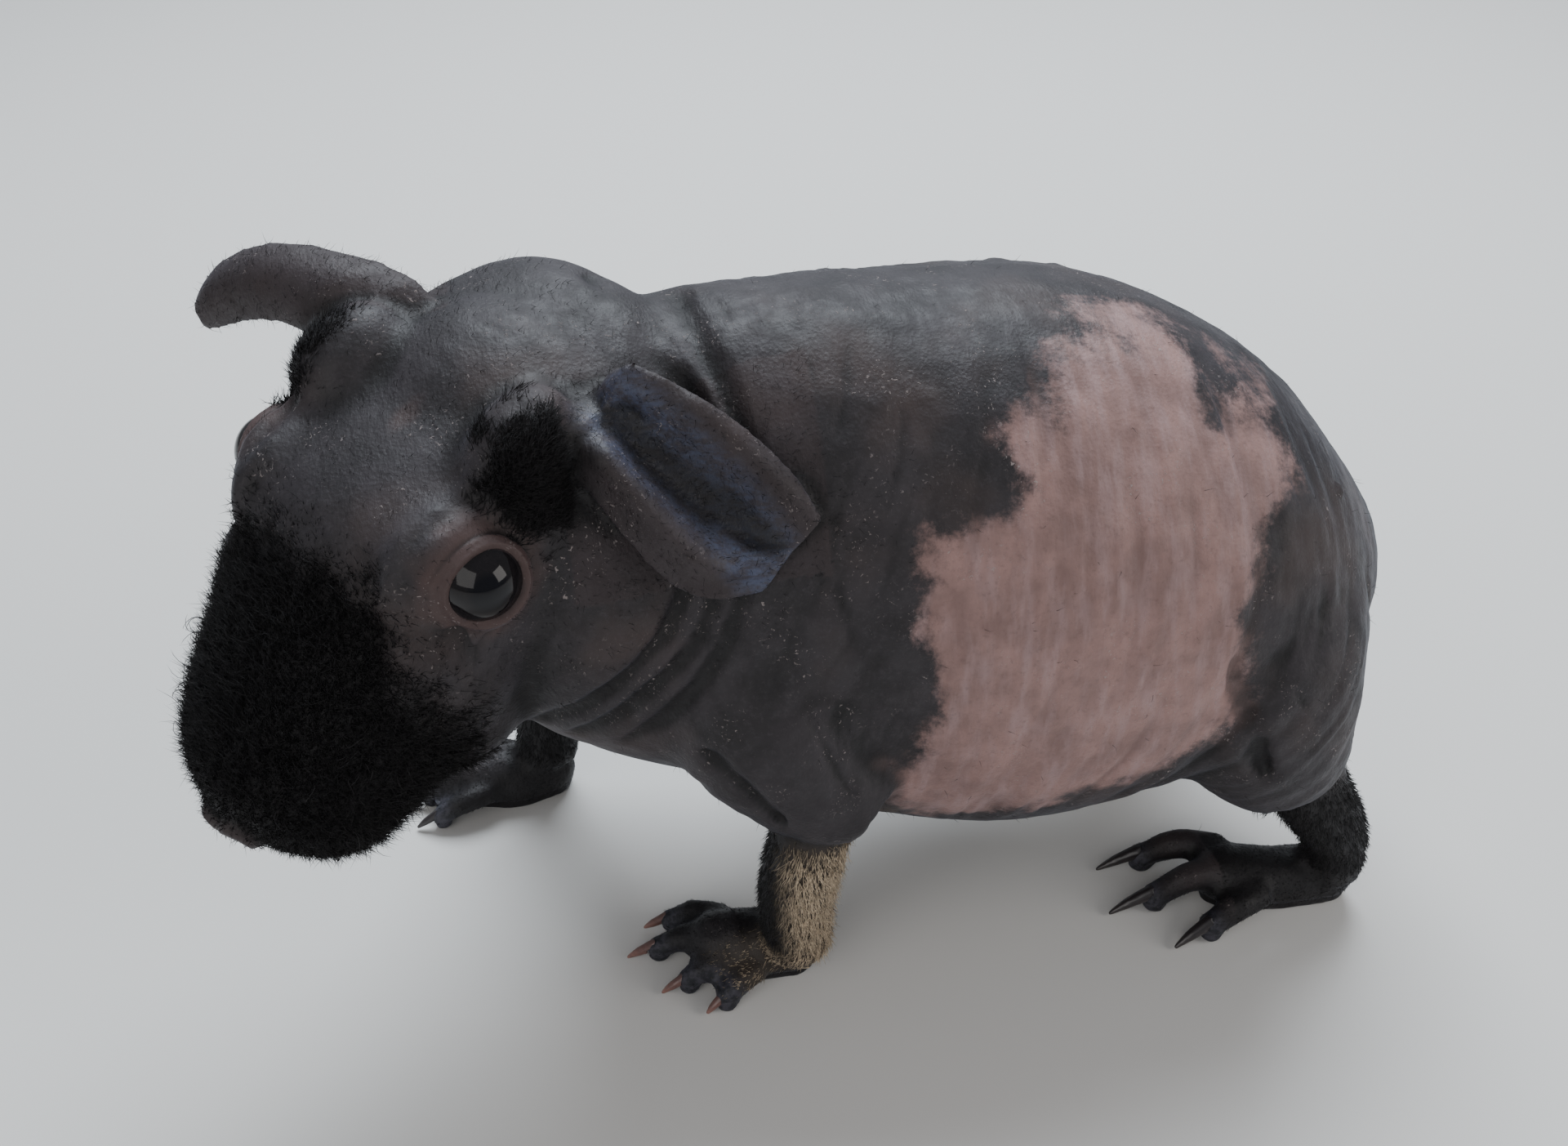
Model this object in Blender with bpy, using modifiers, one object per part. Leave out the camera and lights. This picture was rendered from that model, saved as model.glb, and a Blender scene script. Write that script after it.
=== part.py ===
"""A young hairless guinea pig standing on four feet, life size, in metres with +Z up.

The animal faces -X and its left side is towards -Y. The origin is on the floor, in the middle of the
box round the body. The flesh is modelled whole from lofts and ellipsoids, fused, pressed into folds,
and parted into named pieces by thin cuts. Ears, lower legs, feet, claws and eyes are set on afterwards,
each trimmed clear of what it grows from by a thin gap.
"""

import math

import bmesh
import bpy
import numpy as np
from mathutils import Matrix, Vector

MM = 0.001
GAP = 0.3 * MM

# Moves the whole animal so that the origin is under the middle of its box.
SHIFT = Vector((13.25, 0.8, 0.0)) * MM

# The head's own axes start midway between the eyes: turned to its left, nose down, rolled a little.
HEAD_CENTRE = Vector((-64.38, -12.79, 75.70)) * MM
HEAD_TURN = 37.0
HEAD_PITCH = 36.0
HEAD_ROLL = -6.0

# Trunk sections from rump to neck: spine x, y, z, half width, height above and depth below, in mm.
TRUNK = (
    (58.2, 0.0, 36.0, 5.0, 7.0, 7.0),
    (55.0, 0.0, 38.0, 14.5, 15.0, 14.0),
    (45.0, 0.0, 42.0, 25.0, 23.5, 21.0),
    (31.0, 0.0, 46.5, 30.5, 32.5, 28.5),
    (12.0, 0.0, 50.5, 32.0, 38.0, 35.5),
    (-9.0, 0.0, 53.5, 29.0, 37.2, 33.5),
    (-26.0, -1.0, 58.0, 24.5, 34.8, 29.0),
    (-39.0, -3.0, 63.0, 21.5, 30.0, 26.0),
    (-50.0, -8.0, 68.0, 18.0, 18.5, 20.0),
    (-58.0, -12.0, 70.0, 11.0, 9.5, 11.0),
)

# Head sections from nape to nose: forward, centre height, half width, height above, depth below, in mm.
HEAD = (
    (-37.0, -11.0, 8.0, 4.0, 6.0),
    (-32.0, -10.5, 14.7, 8.5, 12.0),
    (-18.0, -6.5, 19.0, 10.1, 16.5),
    (0.0, -4.0, 18.4, 12.5, 20.0),
    (11.0, -6.5, 17.9, 12.5, 17.5),
    (21.0, -9.0, 16.6, 12.0, 14.0),
    (29.0, -10.5, 14.4, 10.5, 11.5),
    (34.0, -11.0, 10.4, 8.0, 8.5),
    (36.7, -11.0, 4.4, 3.2, 3.4),
)

# Round forms fused into the head: middle in the head's axes and three radii, in mm. Side ones are mirrored.
MIDDLE_BULGES = {
    "crown": ((-15.0, 0.0, -7.3), (16.0, 16.5, 13.2)),
    "nose": ((31.0, 0.0, -7.5), (6.0, 6.5, 6.5)),
    "chin": ((21.0, 0.0, -20.0), (7.5, 6.5, 5.0)),
    "far_ear_root": ((-12.6, -12.0, 3.6), (8.0, 5.3, 5.5)),
    "near_ear_root": ((-13.5, 12.5, 3.5), (7.5, 5.0, 5.0)),
}
SIDE_BULGES = {
    "brow": ((1.0, 11.9, 2.5), (8.0, 6.0, 6.5)),
    "cheek": ((-7.0, 11.7, -11.0), (13.0, 8.0, 11.0)),
    "jowl": ((11.0, 8.5, -17.5), (11.5, 7.5, 8.5)),
    "lip": ((24.5, 6.5, -12.0), (9.0, 6.5, 8.0)),
}

# Upper limbs as tubes that run out of the trunk: places and radii in mm.
ARM_LEFT = (((-26, -12, 52), (-23, -18, 45), (-18, -22, 38.5), (-12.5, -24.5, 34.5)), (14, 12.5, 9.5, 6.5))
ARM_RIGHT = (((-34, 12, 50), (-38, 18, 42), (-41, 21, 34), (-43, 22, 29)), (15, 13, 10, 6))
THIGH_LEFT = (((40, -12, 48), (38, -18, 43), (41, -21, 34), (45.5, -22, 27)), (15, 15, 12, 8.5))
THIGH_RIGHT = (((36, 12, 48), (34, 18, 43), (37, 21, 34), (41.5, 22, 27)), (15, 15, 12, 8.5))

# What is cut out of the trunk as each upper limb.
ARM_PLUG_LEFT = (((-23, -14, 48), (-20, -20, 42), (-15.5, -24, 35), (-12, -27, 27)), (13, 13, 12, 10))
ARM_PLUG_RIGHT = (((-36, 13, 48), (-39, 19, 41), (-42, 22, 33), (-44, 24, 25)), (13.5, 13.5, 12, 10))
THIGH_PLUG_LEFT = (((39, -14, 47), (39, -20, 41), (43, -23, 32), (47, -24, 21)), (15, 15.5, 14, 12))
THIGH_PLUG_RIGHT = (((35, 14, 47), (35, 20, 41), (39, 23, 32), (43, 24, 21)), (15, 15.5, 14, 12))

# Lower limbs, furred, from inside the upper ones down to the ankle.
FOREARM_LEFT = (((-17, -23.5, 37), (-20.3, -24, 28), (-21.3, -22.6, 18), (-20.6, -20.8, 7)), (5, 5.5, 5.3, 4.9))
FOREARM_RIGHT = (((-42, 21.5, 34), (-45.5, 22, 26), (-49, 22.3, 17), (-50, 22.2, 7)), (5.2, 5.5, 5.3, 4.9))
SHANK_LEFT = (((44, -21.5, 30), (50, -22.8, 21), (55, -22.8, 13), (56.5, -22.5, 5)), (6.5, 5.9, 5.0, 4.3))
SHANK_RIGHT = (((40, 21.5, 30), (46, 22.8, 21), (51, 22.8, 13), (52.5, 22.5, 5)), (6.5, 5.9, 5.0, 4.3))

# Feet: the back of the heel, and the way the foot points, as degrees inward from straight ahead.
FRONT_HEEL_LEFT = (-16.0, -19.8)
FRONT_HEEL_RIGHT = (-45.0, 22.2)
HIND_HEEL_LEFT = (60.5, -22.3)
HIND_HEEL_RIGHT = (56.5, 22.3)
FRONT_TURN_LEFT = 13.0
FRONT_TURN_RIGHT = 2.0
HIND_TURN = 6.0

# Toes in the foot's own axes, forward from the heel, outward and up, in mm: root, knuckle, pad, claw tip.
FRONT_TOES = (
    ((14.0, -3.6, 4.2), (18.5, -4.8, 3.9), (21.8, -4.9, 2.2), (25.6, -4.8, 0.5)),
    ((14.5, -0.6, 4.4), (19.5, -0.4, 4.0), (23.2, 0.1, 2.2), (27.4, 0.4, 0.5)),
    ((12.5, 2.4, 4.2), (16.0, 4.2, 3.7), (18.6, 5.1, 2.1), (22.2, 6.2, 0.5)),
    ((9.0, 4.2, 3.8), (11.6, 6.3, 3.3), (13.4, 7.6, 2.0), (16.0, 9.4, 0.5)),
)
HIND_TOES = (
    ((18.0, -4.2, 4.8), (24.0, -6.2, 4.6), (29.0, -6.6, 2.3), (35.6, -6.2, 0.5)),
    ((18.5, -0.3, 4.9), (24.5, 0.2, 4.7), (29.4, 1.0, 2.3), (36.0, 2.0, 0.5)),
    ((15.0, 3.6, 4.5), (19.5, 5.6, 4.0), (23.0, 6.8, 2.2), (28.6, 8.8, 0.5)),
)
FRONT_SOLE = (((5.0, 0.0, 3.6), (10.0, 0.0, 3.7), (15.0, 0.2, 3.8)), (4.2, 4.9, 4.4))
HIND_SOLE = (((4.4, 0.0, 3.7), (12.0, 0.0, 3.6), (19.0, -0.6, 4.0)), (4.2, 4.4, 4.6))
FRONT_TOE_RADIUS = 2.0
HIND_TOE_RADIUS = 2.3
TOE_TIP_SHARE = 0.95
FRONT_CLAW_RADIUS = 0.95
HIND_CLAW_RADIUS = 1.15

# Eyes in the head's axes: middle of the ball, the way it looks, its radius, and the lids' ring in mm.
EYE_PLACE = (-0.7, 15.3, 1.0)
EYE_LOOK = Vector((0.22, 0.85, 0.45)).normalized()
EYE_RADIUS = 4.8
LID_OUT = 2.5
LID_RADII = (4.7, 4.3)
LID_THICKNESS = 1.0

# Ears as edges in mm, root to tip, with how far the sheet is cupped.
EAR_THICKNESS = 1.3
EAR_LEFT = (
    ((-43, -12, 86.5), (-44.2, -17.8, 84.2), (-39.6, -22.5, 77.2), (-35, -25.5, 72), (-30.5, -27, 70.5),
     (-26, -27, 71)),
    ((-38.5, -11, 87.5), (-36.5, -13.5, 91.5), (-31.5, -15.5, 89.2), (-26, -18, 85.5), (-21, -21, 80.5),
     (-18.8, -23.5, 76.5)),
)
EAR_RIGHT = (
    ((-62.0, 2.0, 84.5), (-68.0, 6.0, 87.0), (-72.5, 10.5, 88.0), (-77.0, 15.0, 86.5), (-80.5, 18.0, 84.5),
     (-82.5, 19.5, 84.0)),
    ((-53.0, 3.0, 88.0), (-57.5, 7.0, 93.0), (-64.5, 12.5, 94.0), (-72.5, 17.5, 94.0), (-79.0, 20.5, 91.0),
     (-82.5, 20.8, 87.0)),
)

# The cuts between head, neck and torso: a point in mm, and the way to the head.
HEAD_CUT = (Vector((-37.5, 0.0, 94.0)), Vector((-0.80, -0.51, 0.31)).normalized())
NECK_CUT = (Vector((-27.0, 0.0, 91.0)), Vector((-0.84, -0.38, 0.39)).normalized())

# Folds pressed into the flesh: places in mm, half width and depth of the groove.
FOLDS = (
    (((-31.5, -20.5, 76), (-32.5, -22, 70), (-36.5, -24, 62.5), (-44, -23, 55), (-50, -19, 49)), 1.9, 1.7),
    (((-29.5, -21.5, 75), (-30.5, -23, 69), (-33.5, -24, 61), (-40.5, -23, 53), (-47, -19, 46)), 1.8, 1.5),
    (((-26.5, -22.5, 74), (-27.5, -23.5, 68.5), (-30, -24.5, 61), (-36, -23.5, 52), (-43, -20, 43.5)), 1.8, 1.3),
    (((-38, 7, 93.5), (-37, -1, 94.5), (-35, -5, 92.5), (-32, -9, 88.5), (-30, -13, 84.5)), 2.6, 2.2),
    (((-29.5, 6.0, 91.0), (-29.0, -3.5, 90.5), (-27.0, -11.0, 87.0), (-25.5, -16.5, 82.0)), 2.2, 1.0),
    (((-32.0, -26.0, 47.0), (-28.5, -28.0, 44.0), (-25.0, -29.0, 39.5)), 2.0, 1.2),
    (((30.0, -31.0, 50.0), (32.5, -32.0, 43.0), (35.0, -31.5, 37.0)), 2.4, 1.2),
    (((26.0, 31.0, 50.0), (28.5, 32.0, 43.0), (31.0, 31.5, 37.0)), 2.4, 1.2),
)

VOXEL = 1.0 * MM
FLESH_TRIANGLES = 6400
FOOT_VOXEL = 0.45 * MM
FOOT_TRIANGLES = 420


def head_axes():
    """Forward, left and up of the head, as unit vectors."""
    turn, pitch, roll = (math.radians(a) for a in (HEAD_TURN, HEAD_PITCH, HEAD_ROLL))
    level = Vector((-math.cos(turn), -math.sin(turn), 0.0))
    forward = level * math.cos(pitch) + Vector((0.0, 0.0, -math.sin(pitch)))
    flat_left = Vector((0.0, 0.0, 1.0)).cross(level)
    flat_up = forward.cross(flat_left)
    left = flat_left * math.cos(roll) + flat_up * math.sin(roll)
    return forward, left, forward.cross(left)


FORWARD, LEFT, UP = head_axes()


def head_way(forward, left, up):
    """A direction given along the head's own axes."""
    return FORWARD * forward + LEFT * left + UP * up


def on_head(forward, left, up):
    """A point given in mm along the head's own axes from the middle between the eyes."""
    return HEAD_CENTRE + head_way(forward, left, up) * MM


def head_matrix(forward, left, up):
    """Places a shape modelled with X forward, Y left and Z up at a point of the head."""
    turned = Matrix((FORWARD, LEFT, UP)).transposed().to_4x4()
    return Matrix.Translation(on_head(forward, left, up)) @ turned


def new_object(name, mesh, collection=None):
    obj = bpy.data.objects.new(name, mesh)
    (collection or bpy.context.scene.collection).objects.link(obj)
    return obj


def smooth_between(rows, steps):
    """Rows of numbers joined by a Catmull-Rom curve, with steps spans between each two."""
    rows = np.array(rows, float)
    ends = np.vstack([2 * rows[0] - rows[1], rows, 2 * rows[-1] - rows[-2]])
    found = []
    for i in range(1, len(ends) - 2):
        a, b, c, d = ends[i - 1 : i + 3]
        for t in np.arange(steps) / steps:
            bend = (2 * a - 5 * b + 4 * c - d) * t**2 + (3 * b - a - 3 * c + d) * t**3
            found.append(0.5 * (2 * b + (c - a) * t + bend))
    found.append(rows[-1])
    return np.array(found)


def ring(centre, left, up, width, above, below, sides, power):
    """Points round one section, fuller towards its corners as power grows past 2."""
    points = []
    for k in range(sides):
        angle = 2 * math.pi * k / sides
        c, s = math.cos(angle), math.sin(angle)
        across = math.copysign(abs(c) ** (2 / power), c) * width
        height = math.copysign(abs(s) ** (2 / power), s) * (above if s > 0 else below)
        points.append(centre + left * across + up * height)
    return points


def mesh_from(bm, name):
    mesh = bpy.data.meshes.new(name)
    bm.to_mesh(mesh)
    bm.free()
    return mesh


def skinned(name, rings):
    """A closed mesh over rings of points, with a point in the middle of each end."""
    bm = bmesh.new()
    loops = [[bm.verts.new(p) for p in r] for r in rings]
    for one, two in zip(loops, loops[1:]):
        for k in range(len(one)):
            j = (k + 1) % len(one)
            bm.faces.new((one[k], one[j], two[j], two[k]))
    for loop in (loops[0], loops[-1]):
        middle = bm.verts.new(sum((v.co for v in loop), Vector()) / len(loop))
        for k in range(len(loop)):
            bm.faces.new((middle, loop[k], loop[(k + 1) % len(loop)]))
    bmesh.ops.recalc_face_normals(bm, faces=bm.faces)
    return mesh_from(bm, name)


def trunk_mesh():
    rows = smooth_between(TRUNK, 4)
    centres = [Vector(r[:3]) * MM for r in rows]
    rings = []
    for i, r in enumerate(rows):
        along = (centres[min(i + 1, len(rows) - 1)] - centres[max(i - 1, 0)]).normalized()
        left = Vector((0.0, 0.0, 1.0)).cross(along).normalized()
        up = along.cross(left)
        rings.append(ring(centres[i], left, up, r[3] * MM, r[4] * MM, r[5] * MM, 32, 2.1))
    return skinned("trunk", rings)


def head_mesh():
    rings = []
    for f, u, width, above, below in smooth_between(HEAD, 4):
        rings.append(ring(on_head(f, 0.0, u), LEFT, UP, width * MM, above * MM, below * MM, 32, 2.25))
    return skinned("head_form", rings)


def tube_mesh(name, places, radii, sides=16, steps=4):
    """A round limb along places and radii in mm."""
    rows = smooth_between([list(p) + [r] for p, r in zip(places, radii)], steps)
    centres = [Vector(r[:3]) * MM for r in rows]
    rings = []
    reach = centres[-1] - centres[0]
    side = Vector((0.0, 1.0, 0.0)) if abs(reach.y) < 0.6 * reach.length else Vector((1.0, 0.0, 0.0))
    for i, r in enumerate(rows):
        along = (centres[min(i + 1, len(rows) - 1)] - centres[max(i - 1, 0)]).normalized()
        side = (side - along * side.dot(along)).normalized()
        rings.append(ring(centres[i], side, along.cross(side), r[3] * MM, r[3] * MM, r[3] * MM, sides, 2.0))
    return skinned(name, rings)


def ball_mesh(name, matrix, radii, segments=24, rings=16):
    """An ellipsoid with radii in mm, placed by a matrix."""
    bm = bmesh.new()
    bmesh.ops.create_uvsphere(bm, u_segments=segments, v_segments=rings, radius=1.0)
    bmesh.ops.scale(bm, vec=Vector(radii) * MM, verts=bm.verts)
    bmesh.ops.transform(bm, matrix=matrix, verts=bm.verts)
    return mesh_from(bm, name)


def head_ball(name, place, radii):
    return ball_mesh(name, head_matrix(*place), radii)


def both_sides(place):
    """A place on the head's left and the same on its right."""
    f, l, u = place
    return (("left", (f, l, u)), ("right", (f, -l, u)))


def flesh_forms():
    """Everything that is fused into the one body of flesh."""
    forms = [trunk_mesh(), head_mesh()]
    for name, (place, radii) in MIDDLE_BULGES.items():
        forms.append(head_ball(name, place, radii))
    for name, (place, radii) in SIDE_BULGES.items():
        for side, mirrored in both_sides(place):
            forms.append(head_ball(name + "_" + side, mirrored, radii))
    for limb in (ARM_LEFT, ARM_RIGHT, THIGH_LEFT, THIGH_RIGHT):
        forms.append(tube_mesh("limb", *limb))
    return forms


def modified(obj):
    """The object's mesh with its modifiers applied."""
    graph = bpy.context.evaluated_depsgraph_get()
    return bpy.data.meshes.new_from_object(obj.evaluated_get(graph), depsgraph=graph)


def with_modifier(mesh, kind, **settings):
    """The mesh after one modifier."""
    obj = new_object("work", mesh)
    modifier = obj.modifiers.new("one", kind)
    for key, value in settings.items():
        setattr(modifier, key, value)
    bpy.context.view_layer.update()
    made = modified(obj)
    bpy.data.objects.remove(obj)
    return made


def joined(meshes):
    bm = bmesh.new()
    for mesh in meshes:
        bm.from_mesh(mesh)
    return mesh_from(bm, "joined")


def largest_body(mesh):
    """Keeps only the largest closed surface."""
    bm = bmesh.new()
    bm.from_mesh(mesh)
    left = set(bm.faces)
    bodies = []
    while left:
        first = next(iter(left))
        body = {first}
        edge = [first]
        while edge:
            for near in [f for e in edge.pop().edges for f in e.link_faces]:
                if near not in body:
                    body.add(near)
                    edge.append(near)
        left -= body
        bodies.append(body)
    keep = max(bodies, key=lambda body: sum(f.calc_area() for f in body))
    drop = [f for f in bm.faces if f not in keep]
    bmesh.ops.delete(bm, geom=drop, context="FACES")
    return mesh_from(bm, mesh.name)


def triangulated(mesh):
    bm = bmesh.new()
    bm.from_mesh(mesh)
    bmesh.ops.triangulate(bm, faces=bm.faces)
    return mesh_from(bm, mesh.name)


def combined(mesh, other, operation, solver="EXACT"):
    """A Boolean of two closed meshes, tidied to one closed body."""
    second = new_object("second", other)
    made = with_modifier(mesh, "BOOLEAN", operation=operation, object=second, solver=solver)
    bpy.data.objects.remove(second)
    bm = bmesh.new()
    bm.from_mesh(made)
    bmesh.ops.remove_doubles(bm, verts=bm.verts, dist=0.002 * MM)
    bmesh.ops.dissolve_degenerate(bm, edges=bm.edges, dist=0.002 * MM)
    bmesh.ops.triangulate(bm, faces=bm.faces)
    return largest_body(mesh_from(bm, mesh.name))


def inflated(mesh, distance):
    """The mesh with each point moved out along its normal."""
    bm = bmesh.new()
    bm.from_mesh(mesh)
    bm.normal_update()
    moves = [v.normal * distance for v in bm.verts]
    for v, move in zip(bm.verts, moves):
        v.co += move
    return mesh_from(bm, mesh.name)


def cut_by(mesh, point, way):
    """What of the mesh lies on the way side of a plane, with the cut closed."""
    bm = bmesh.new()
    bm.from_mesh(mesh)
    everything = bm.verts[:] + bm.edges[:] + bm.faces[:]
    near = 0.001 * MM
    bmesh.ops.bisect_plane(bm, geom=everything, dist=near, plane_co=point, plane_no=way, clear_inner=True)
    bmesh.ops.holes_fill(bm, edges=[e for e in bm.edges if e.is_boundary], sides=0)
    bmesh.ops.triangulate(bm, faces=bm.faces)
    return largest_body(mesh_from(bm, mesh.name))


def decimated(mesh, triangles, coarse=None):
    """The mesh brought down to about a number of triangles, kept finer where coarse is less than 1."""
    mesh = triangulated(mesh)
    obj = new_object("work", mesh)
    modifier = obj.modifiers.new("fewer", "DECIMATE")
    modifier.ratio = min(1.0, triangles / len(mesh.polygons))
    if coarse is not None:
        weights = obj.vertex_groups.new(name="coarse")
        for i, weight in enumerate(coarse):
            weights.add([i], float(weight), "REPLACE")
        modifier.vertex_group = "coarse"
        modifier.vertex_group_factor = 3e-5
    bpy.context.view_layer.update()
    made = modified(obj)
    bpy.data.objects.remove(obj)
    return made


def places_of(mesh):
    co = np.empty(len(mesh.vertices) * 3)
    mesh.vertices.foreach_get("co", co)
    return co.reshape(-1, 3)


def normals_of(mesh):
    found = np.empty(len(mesh.vertices) * 3)
    mesh.vertices.foreach_get("normal", found)
    return found.reshape(-1, 3)


def pressed(mesh, places, width, depth):
    """Presses a soft groove along a smooth line, or raises a ridge where depth is below nothing."""
    line = smooth_between(places, 12) * MM
    co = places_of(mesh)
    near = np.full(len(co), 1e9)
    for one, two in zip(line, line[1:]):
        way = two - one
        t = np.clip(((co - one) @ way) / max(way @ way, 1e-12), 0, 1)
        near = np.minimum(near, np.linalg.norm(co - (one + t[:, None] * way), axis=1))
    share = np.clip(1 - (near / (width * MM)) ** 2, 0, 1) ** 2
    co = co - normals_of(mesh) * (share * depth * MM)[:, None]
    mesh.vertices.foreach_set("co", co.ravel())
    mesh.update()
    return mesh


def head_line(places):
    """Places on the head as row places in mm."""
    return [tuple(on_head(*place) / MM) for place in places]


def sculpted(mesh):
    """Folds of the neck and limbs, lid creases, philtrum and the line of the mouth."""
    for places, width, depth in FOLDS:
        mesh = pressed(mesh, places, width, depth)
    for side in (1, -1):
        crease = [(7.0, 12.0, 1.0), (4.5, 12.5, 6.5), (-1.5, 12.5, 8.5), (-7.0, 13.5, 5.5), (-8.5, 15.5, 0.0)]
        mesh = pressed(mesh, head_line([(f, l * side, u) for f, l, u in crease]), 1.8, 0.9)
        mouth = [(34.5, 0.0, -16.0), (32.0, 4.0, -18.0), (28.0, 7.5, -19.0), (23.0, 9.5, -19.5)]
        mesh = pressed(mesh, head_line([(f, l * side, u) for f, l, u in mouth]), 1.7, 1.5)
    mesh = pressed(mesh, head_line([(37.0, 0.0, -9.0), (36.5, 0.0, -12.5), (34.5, 0.0, -16.0)]), 1.4, 0.9)
    return mesh


def fused_flesh():
    mesh = joined(flesh_forms())
    mesh = with_modifier(mesh, "REMESH", mode="VOXEL", voxel_size=VOXEL)
    mesh = with_modifier(mesh, "SMOOTH", factor=0.5, iterations=14)
    mesh = sculpted(mesh)
    co = places_of(mesh)
    away = np.linalg.norm(co - np.array(on_head(10.0, 0.0, -5.0)), axis=1)
    coarse = np.clip(away / (30.0 * MM) - 0.4, 0.3, 1.0)
    return decimated(mesh, FLESH_TRIANGLES, coarse)


def eye_frame(side):
    """Matrix of an eye, with Z the way it looks and X forward along the lids."""
    f, l, u = EYE_PLACE
    look = head_way(EYE_LOOK.x, EYE_LOOK.y * side, EYE_LOOK.z)
    ahead = head_way(1.0, 0.0, -0.35)
    ahead = (ahead - look * ahead.dot(look)).normalized()
    turned = Matrix((ahead, look.cross(ahead), look)).transposed().to_4x4()
    return Matrix.Translation(on_head(f, l * side, u)) @ turned


def lids_mesh(side):
    """The ring of both lids."""
    rings = []
    place = eye_frame(side)
    for k in range(20):
        angle = 2 * math.pi * k / 20
        out = Vector((math.cos(angle), math.sin(angle), 0.0))
        centre = Vector((LID_RADII[0] * out.x, LID_RADII[1] * out.y, LID_OUT))
        loop = []
        for j in range(8):
            turn = 2 * math.pi * j / 8
            point = centre + (out * math.cos(turn) + Vector((0, 0, 1)) * math.sin(turn)) * LID_THICKNESS
            loop.append(place @ (point * MM))
        rings.append(loop)
    bm = bmesh.new()
    loops = [[bm.verts.new(p) for p in loop] for loop in rings]
    for i in range(20):
        for j in range(8):
            a, b = loops[i], loops[(i + 1) % 20]
            bm.faces.new((a[j], b[j], b[(j + 1) % 8], a[(j + 1) % 8]))
    bmesh.ops.recalc_face_normals(bm, faces=bm.faces)
    return mesh_from(bm, "lids")


def eye_mesh(side, radius, segments, rings):
    return ball_mesh("eye", eye_frame(side), (radius,) * 3, segments, rings)


def finished_head(mesh):
    """Lids on, sockets and nostrils out."""
    for side in (1, -1):
        mesh = combined(mesh, lids_mesh(side), "UNION")
        mesh = combined(mesh, eye_mesh(side, EYE_RADIUS + 1.1 * GAP / MM, 18, 10), "DIFFERENCE")
        nostril = head_matrix(35.3, 2.7 * side, -8.0) @ Matrix.Rotation(math.radians(35.0 * side), 4, "X")
        mesh = combined(mesh, ball_mesh("nostril", nostril, (1.6, 0.75, 1.25), 10, 6), "DIFFERENCE")
    return mesh


def ear_profile(v, side):
    """How far the sheet stands off the chord, across from front edge to rear edge."""
    if side > 0:
        lobe = 2.6 * math.exp(-(((v - 0.22) / 0.16) ** 2))
        valley = -2.4 * math.exp(-(((v - 0.52) / 0.15) ** 2))
        rear = 0.8 * math.exp(-(((v - 0.86) / 0.14) ** 2))
        return lobe + valley + rear
    return 4.2 * math.sin(math.pi * v) ** 0.8


def ear_mesh(side):
    """A cupped sheet between two edges, given its thickness."""
    front, rear = EAR_LEFT if side > 0 else EAR_RIGHT
    fronts = smooth_between(front, 2)
    rears = smooth_between(rear, 2)
    count = len(fronts)
    across_count = 11
    bm = bmesh.new()
    rows = []
    for i in range(count):
        a, b = Vector(fronts[i]), Vector(rears[i])
        before, after = max(i - 1, 0), min(i + 1, count - 1)
        middle = Vector(fronts[after] + rears[after] - fronts[before] - rears[before]) / 2
        normal = middle.cross(b - a).normalized()
        if normal.dot(Vector((-0.1, -0.85, 0.5))) < 0:
            normal = -normal
        strength = min(1.0, 0.35 + 1.2 * i / count) * min(1.0, 1.15 * (count - i) / count + 0.15)
        row = []
        for k in range(across_count):
            v = k / (across_count - 1)
            row.append(bm.verts.new((a.lerp(b, v) + normal * ear_profile(v, side) * strength) * MM))
        rows.append(row)
    for one, two in zip(rows, rows[1:]):
        for k in range(across_count - 1):
            bm.faces.new((one[k], one[k + 1], two[k + 1], two[k]))
    bmesh.ops.triangulate(bm, faces=bm.faces)
    sheet = mesh_from(bm, "ear_sheet")
    return with_modifier(sheet, "SOLIDIFY", thickness=EAR_THICKNESS * MM, offset=0.0, use_even_offset=False)


def foot_matrix(heel, inward, side):
    """Foot axes: X forward from the heel, Y outward, Z up. Side is 1 for left and -1 for right."""
    angle = math.radians(inward)
    ahead = Vector((-math.cos(angle), math.sin(angle) * side, 0.0))
    outward = Vector((-math.sin(angle), -math.cos(angle) * side, 0.0))
    turned = Matrix((ahead, outward, Vector((0.0, 0.0, 1.0)))).transposed().to_4x4()
    return Matrix.Translation(Vector((heel[0], heel[1], 0.0)) * MM) @ turned


def in_foot(matrix, place):
    """A place in a foot's axes as a row place in mm."""
    return tuple(matrix @ (Vector(place) * MM) / MM)


def toe_mesh(matrix, toe, radius):
    places = [in_foot(matrix, place) for place in toe[:3]]
    return tube_mesh("toe", places, (radius * 1.05, radius, radius * 0.82), 12, 3)


def toe_tip(matrix, toe, radius):
    place = Matrix.Translation(Vector(in_foot(matrix, toe[2])) * MM)
    return ball_mesh("toe_tip", place, (radius * TOE_TIP_SHARE,) * 3, 12, 8)


def foot_mesh(matrix, sole, toes, radius):
    """Sole and toes fused, flat on the floor."""
    places = [in_foot(matrix, place) for place in sole[0]]
    forms = [tube_mesh("sole", places, sole[1], 16, 4)]
    heel = Matrix.Translation(Vector(places[0]) * MM)
    forms.append(ball_mesh("heel", heel, (sole[1][0],) * 3, 16, 10))
    front = Matrix.Translation(Vector(places[-1]) * MM)
    forms.append(ball_mesh("ball", front, (sole[1][-1],) * 3, 16, 10))
    for toe in toes:
        forms.append(toe_mesh(matrix, toe, radius))
        forms.append(toe_tip(matrix, toe, radius))
    mesh = with_modifier(joined(forms), "REMESH", mode="VOXEL", voxel_size=FOOT_VOXEL)
    mesh = with_modifier(mesh, "SMOOTH", factor=0.5, iterations=4)
    mesh = decimated(mesh, FOOT_TRIANGLES)
    return cut_by(mesh, Vector((0.0, 0.0, 0.0)), Vector((0.0, 0.0, 1.0)))


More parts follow.
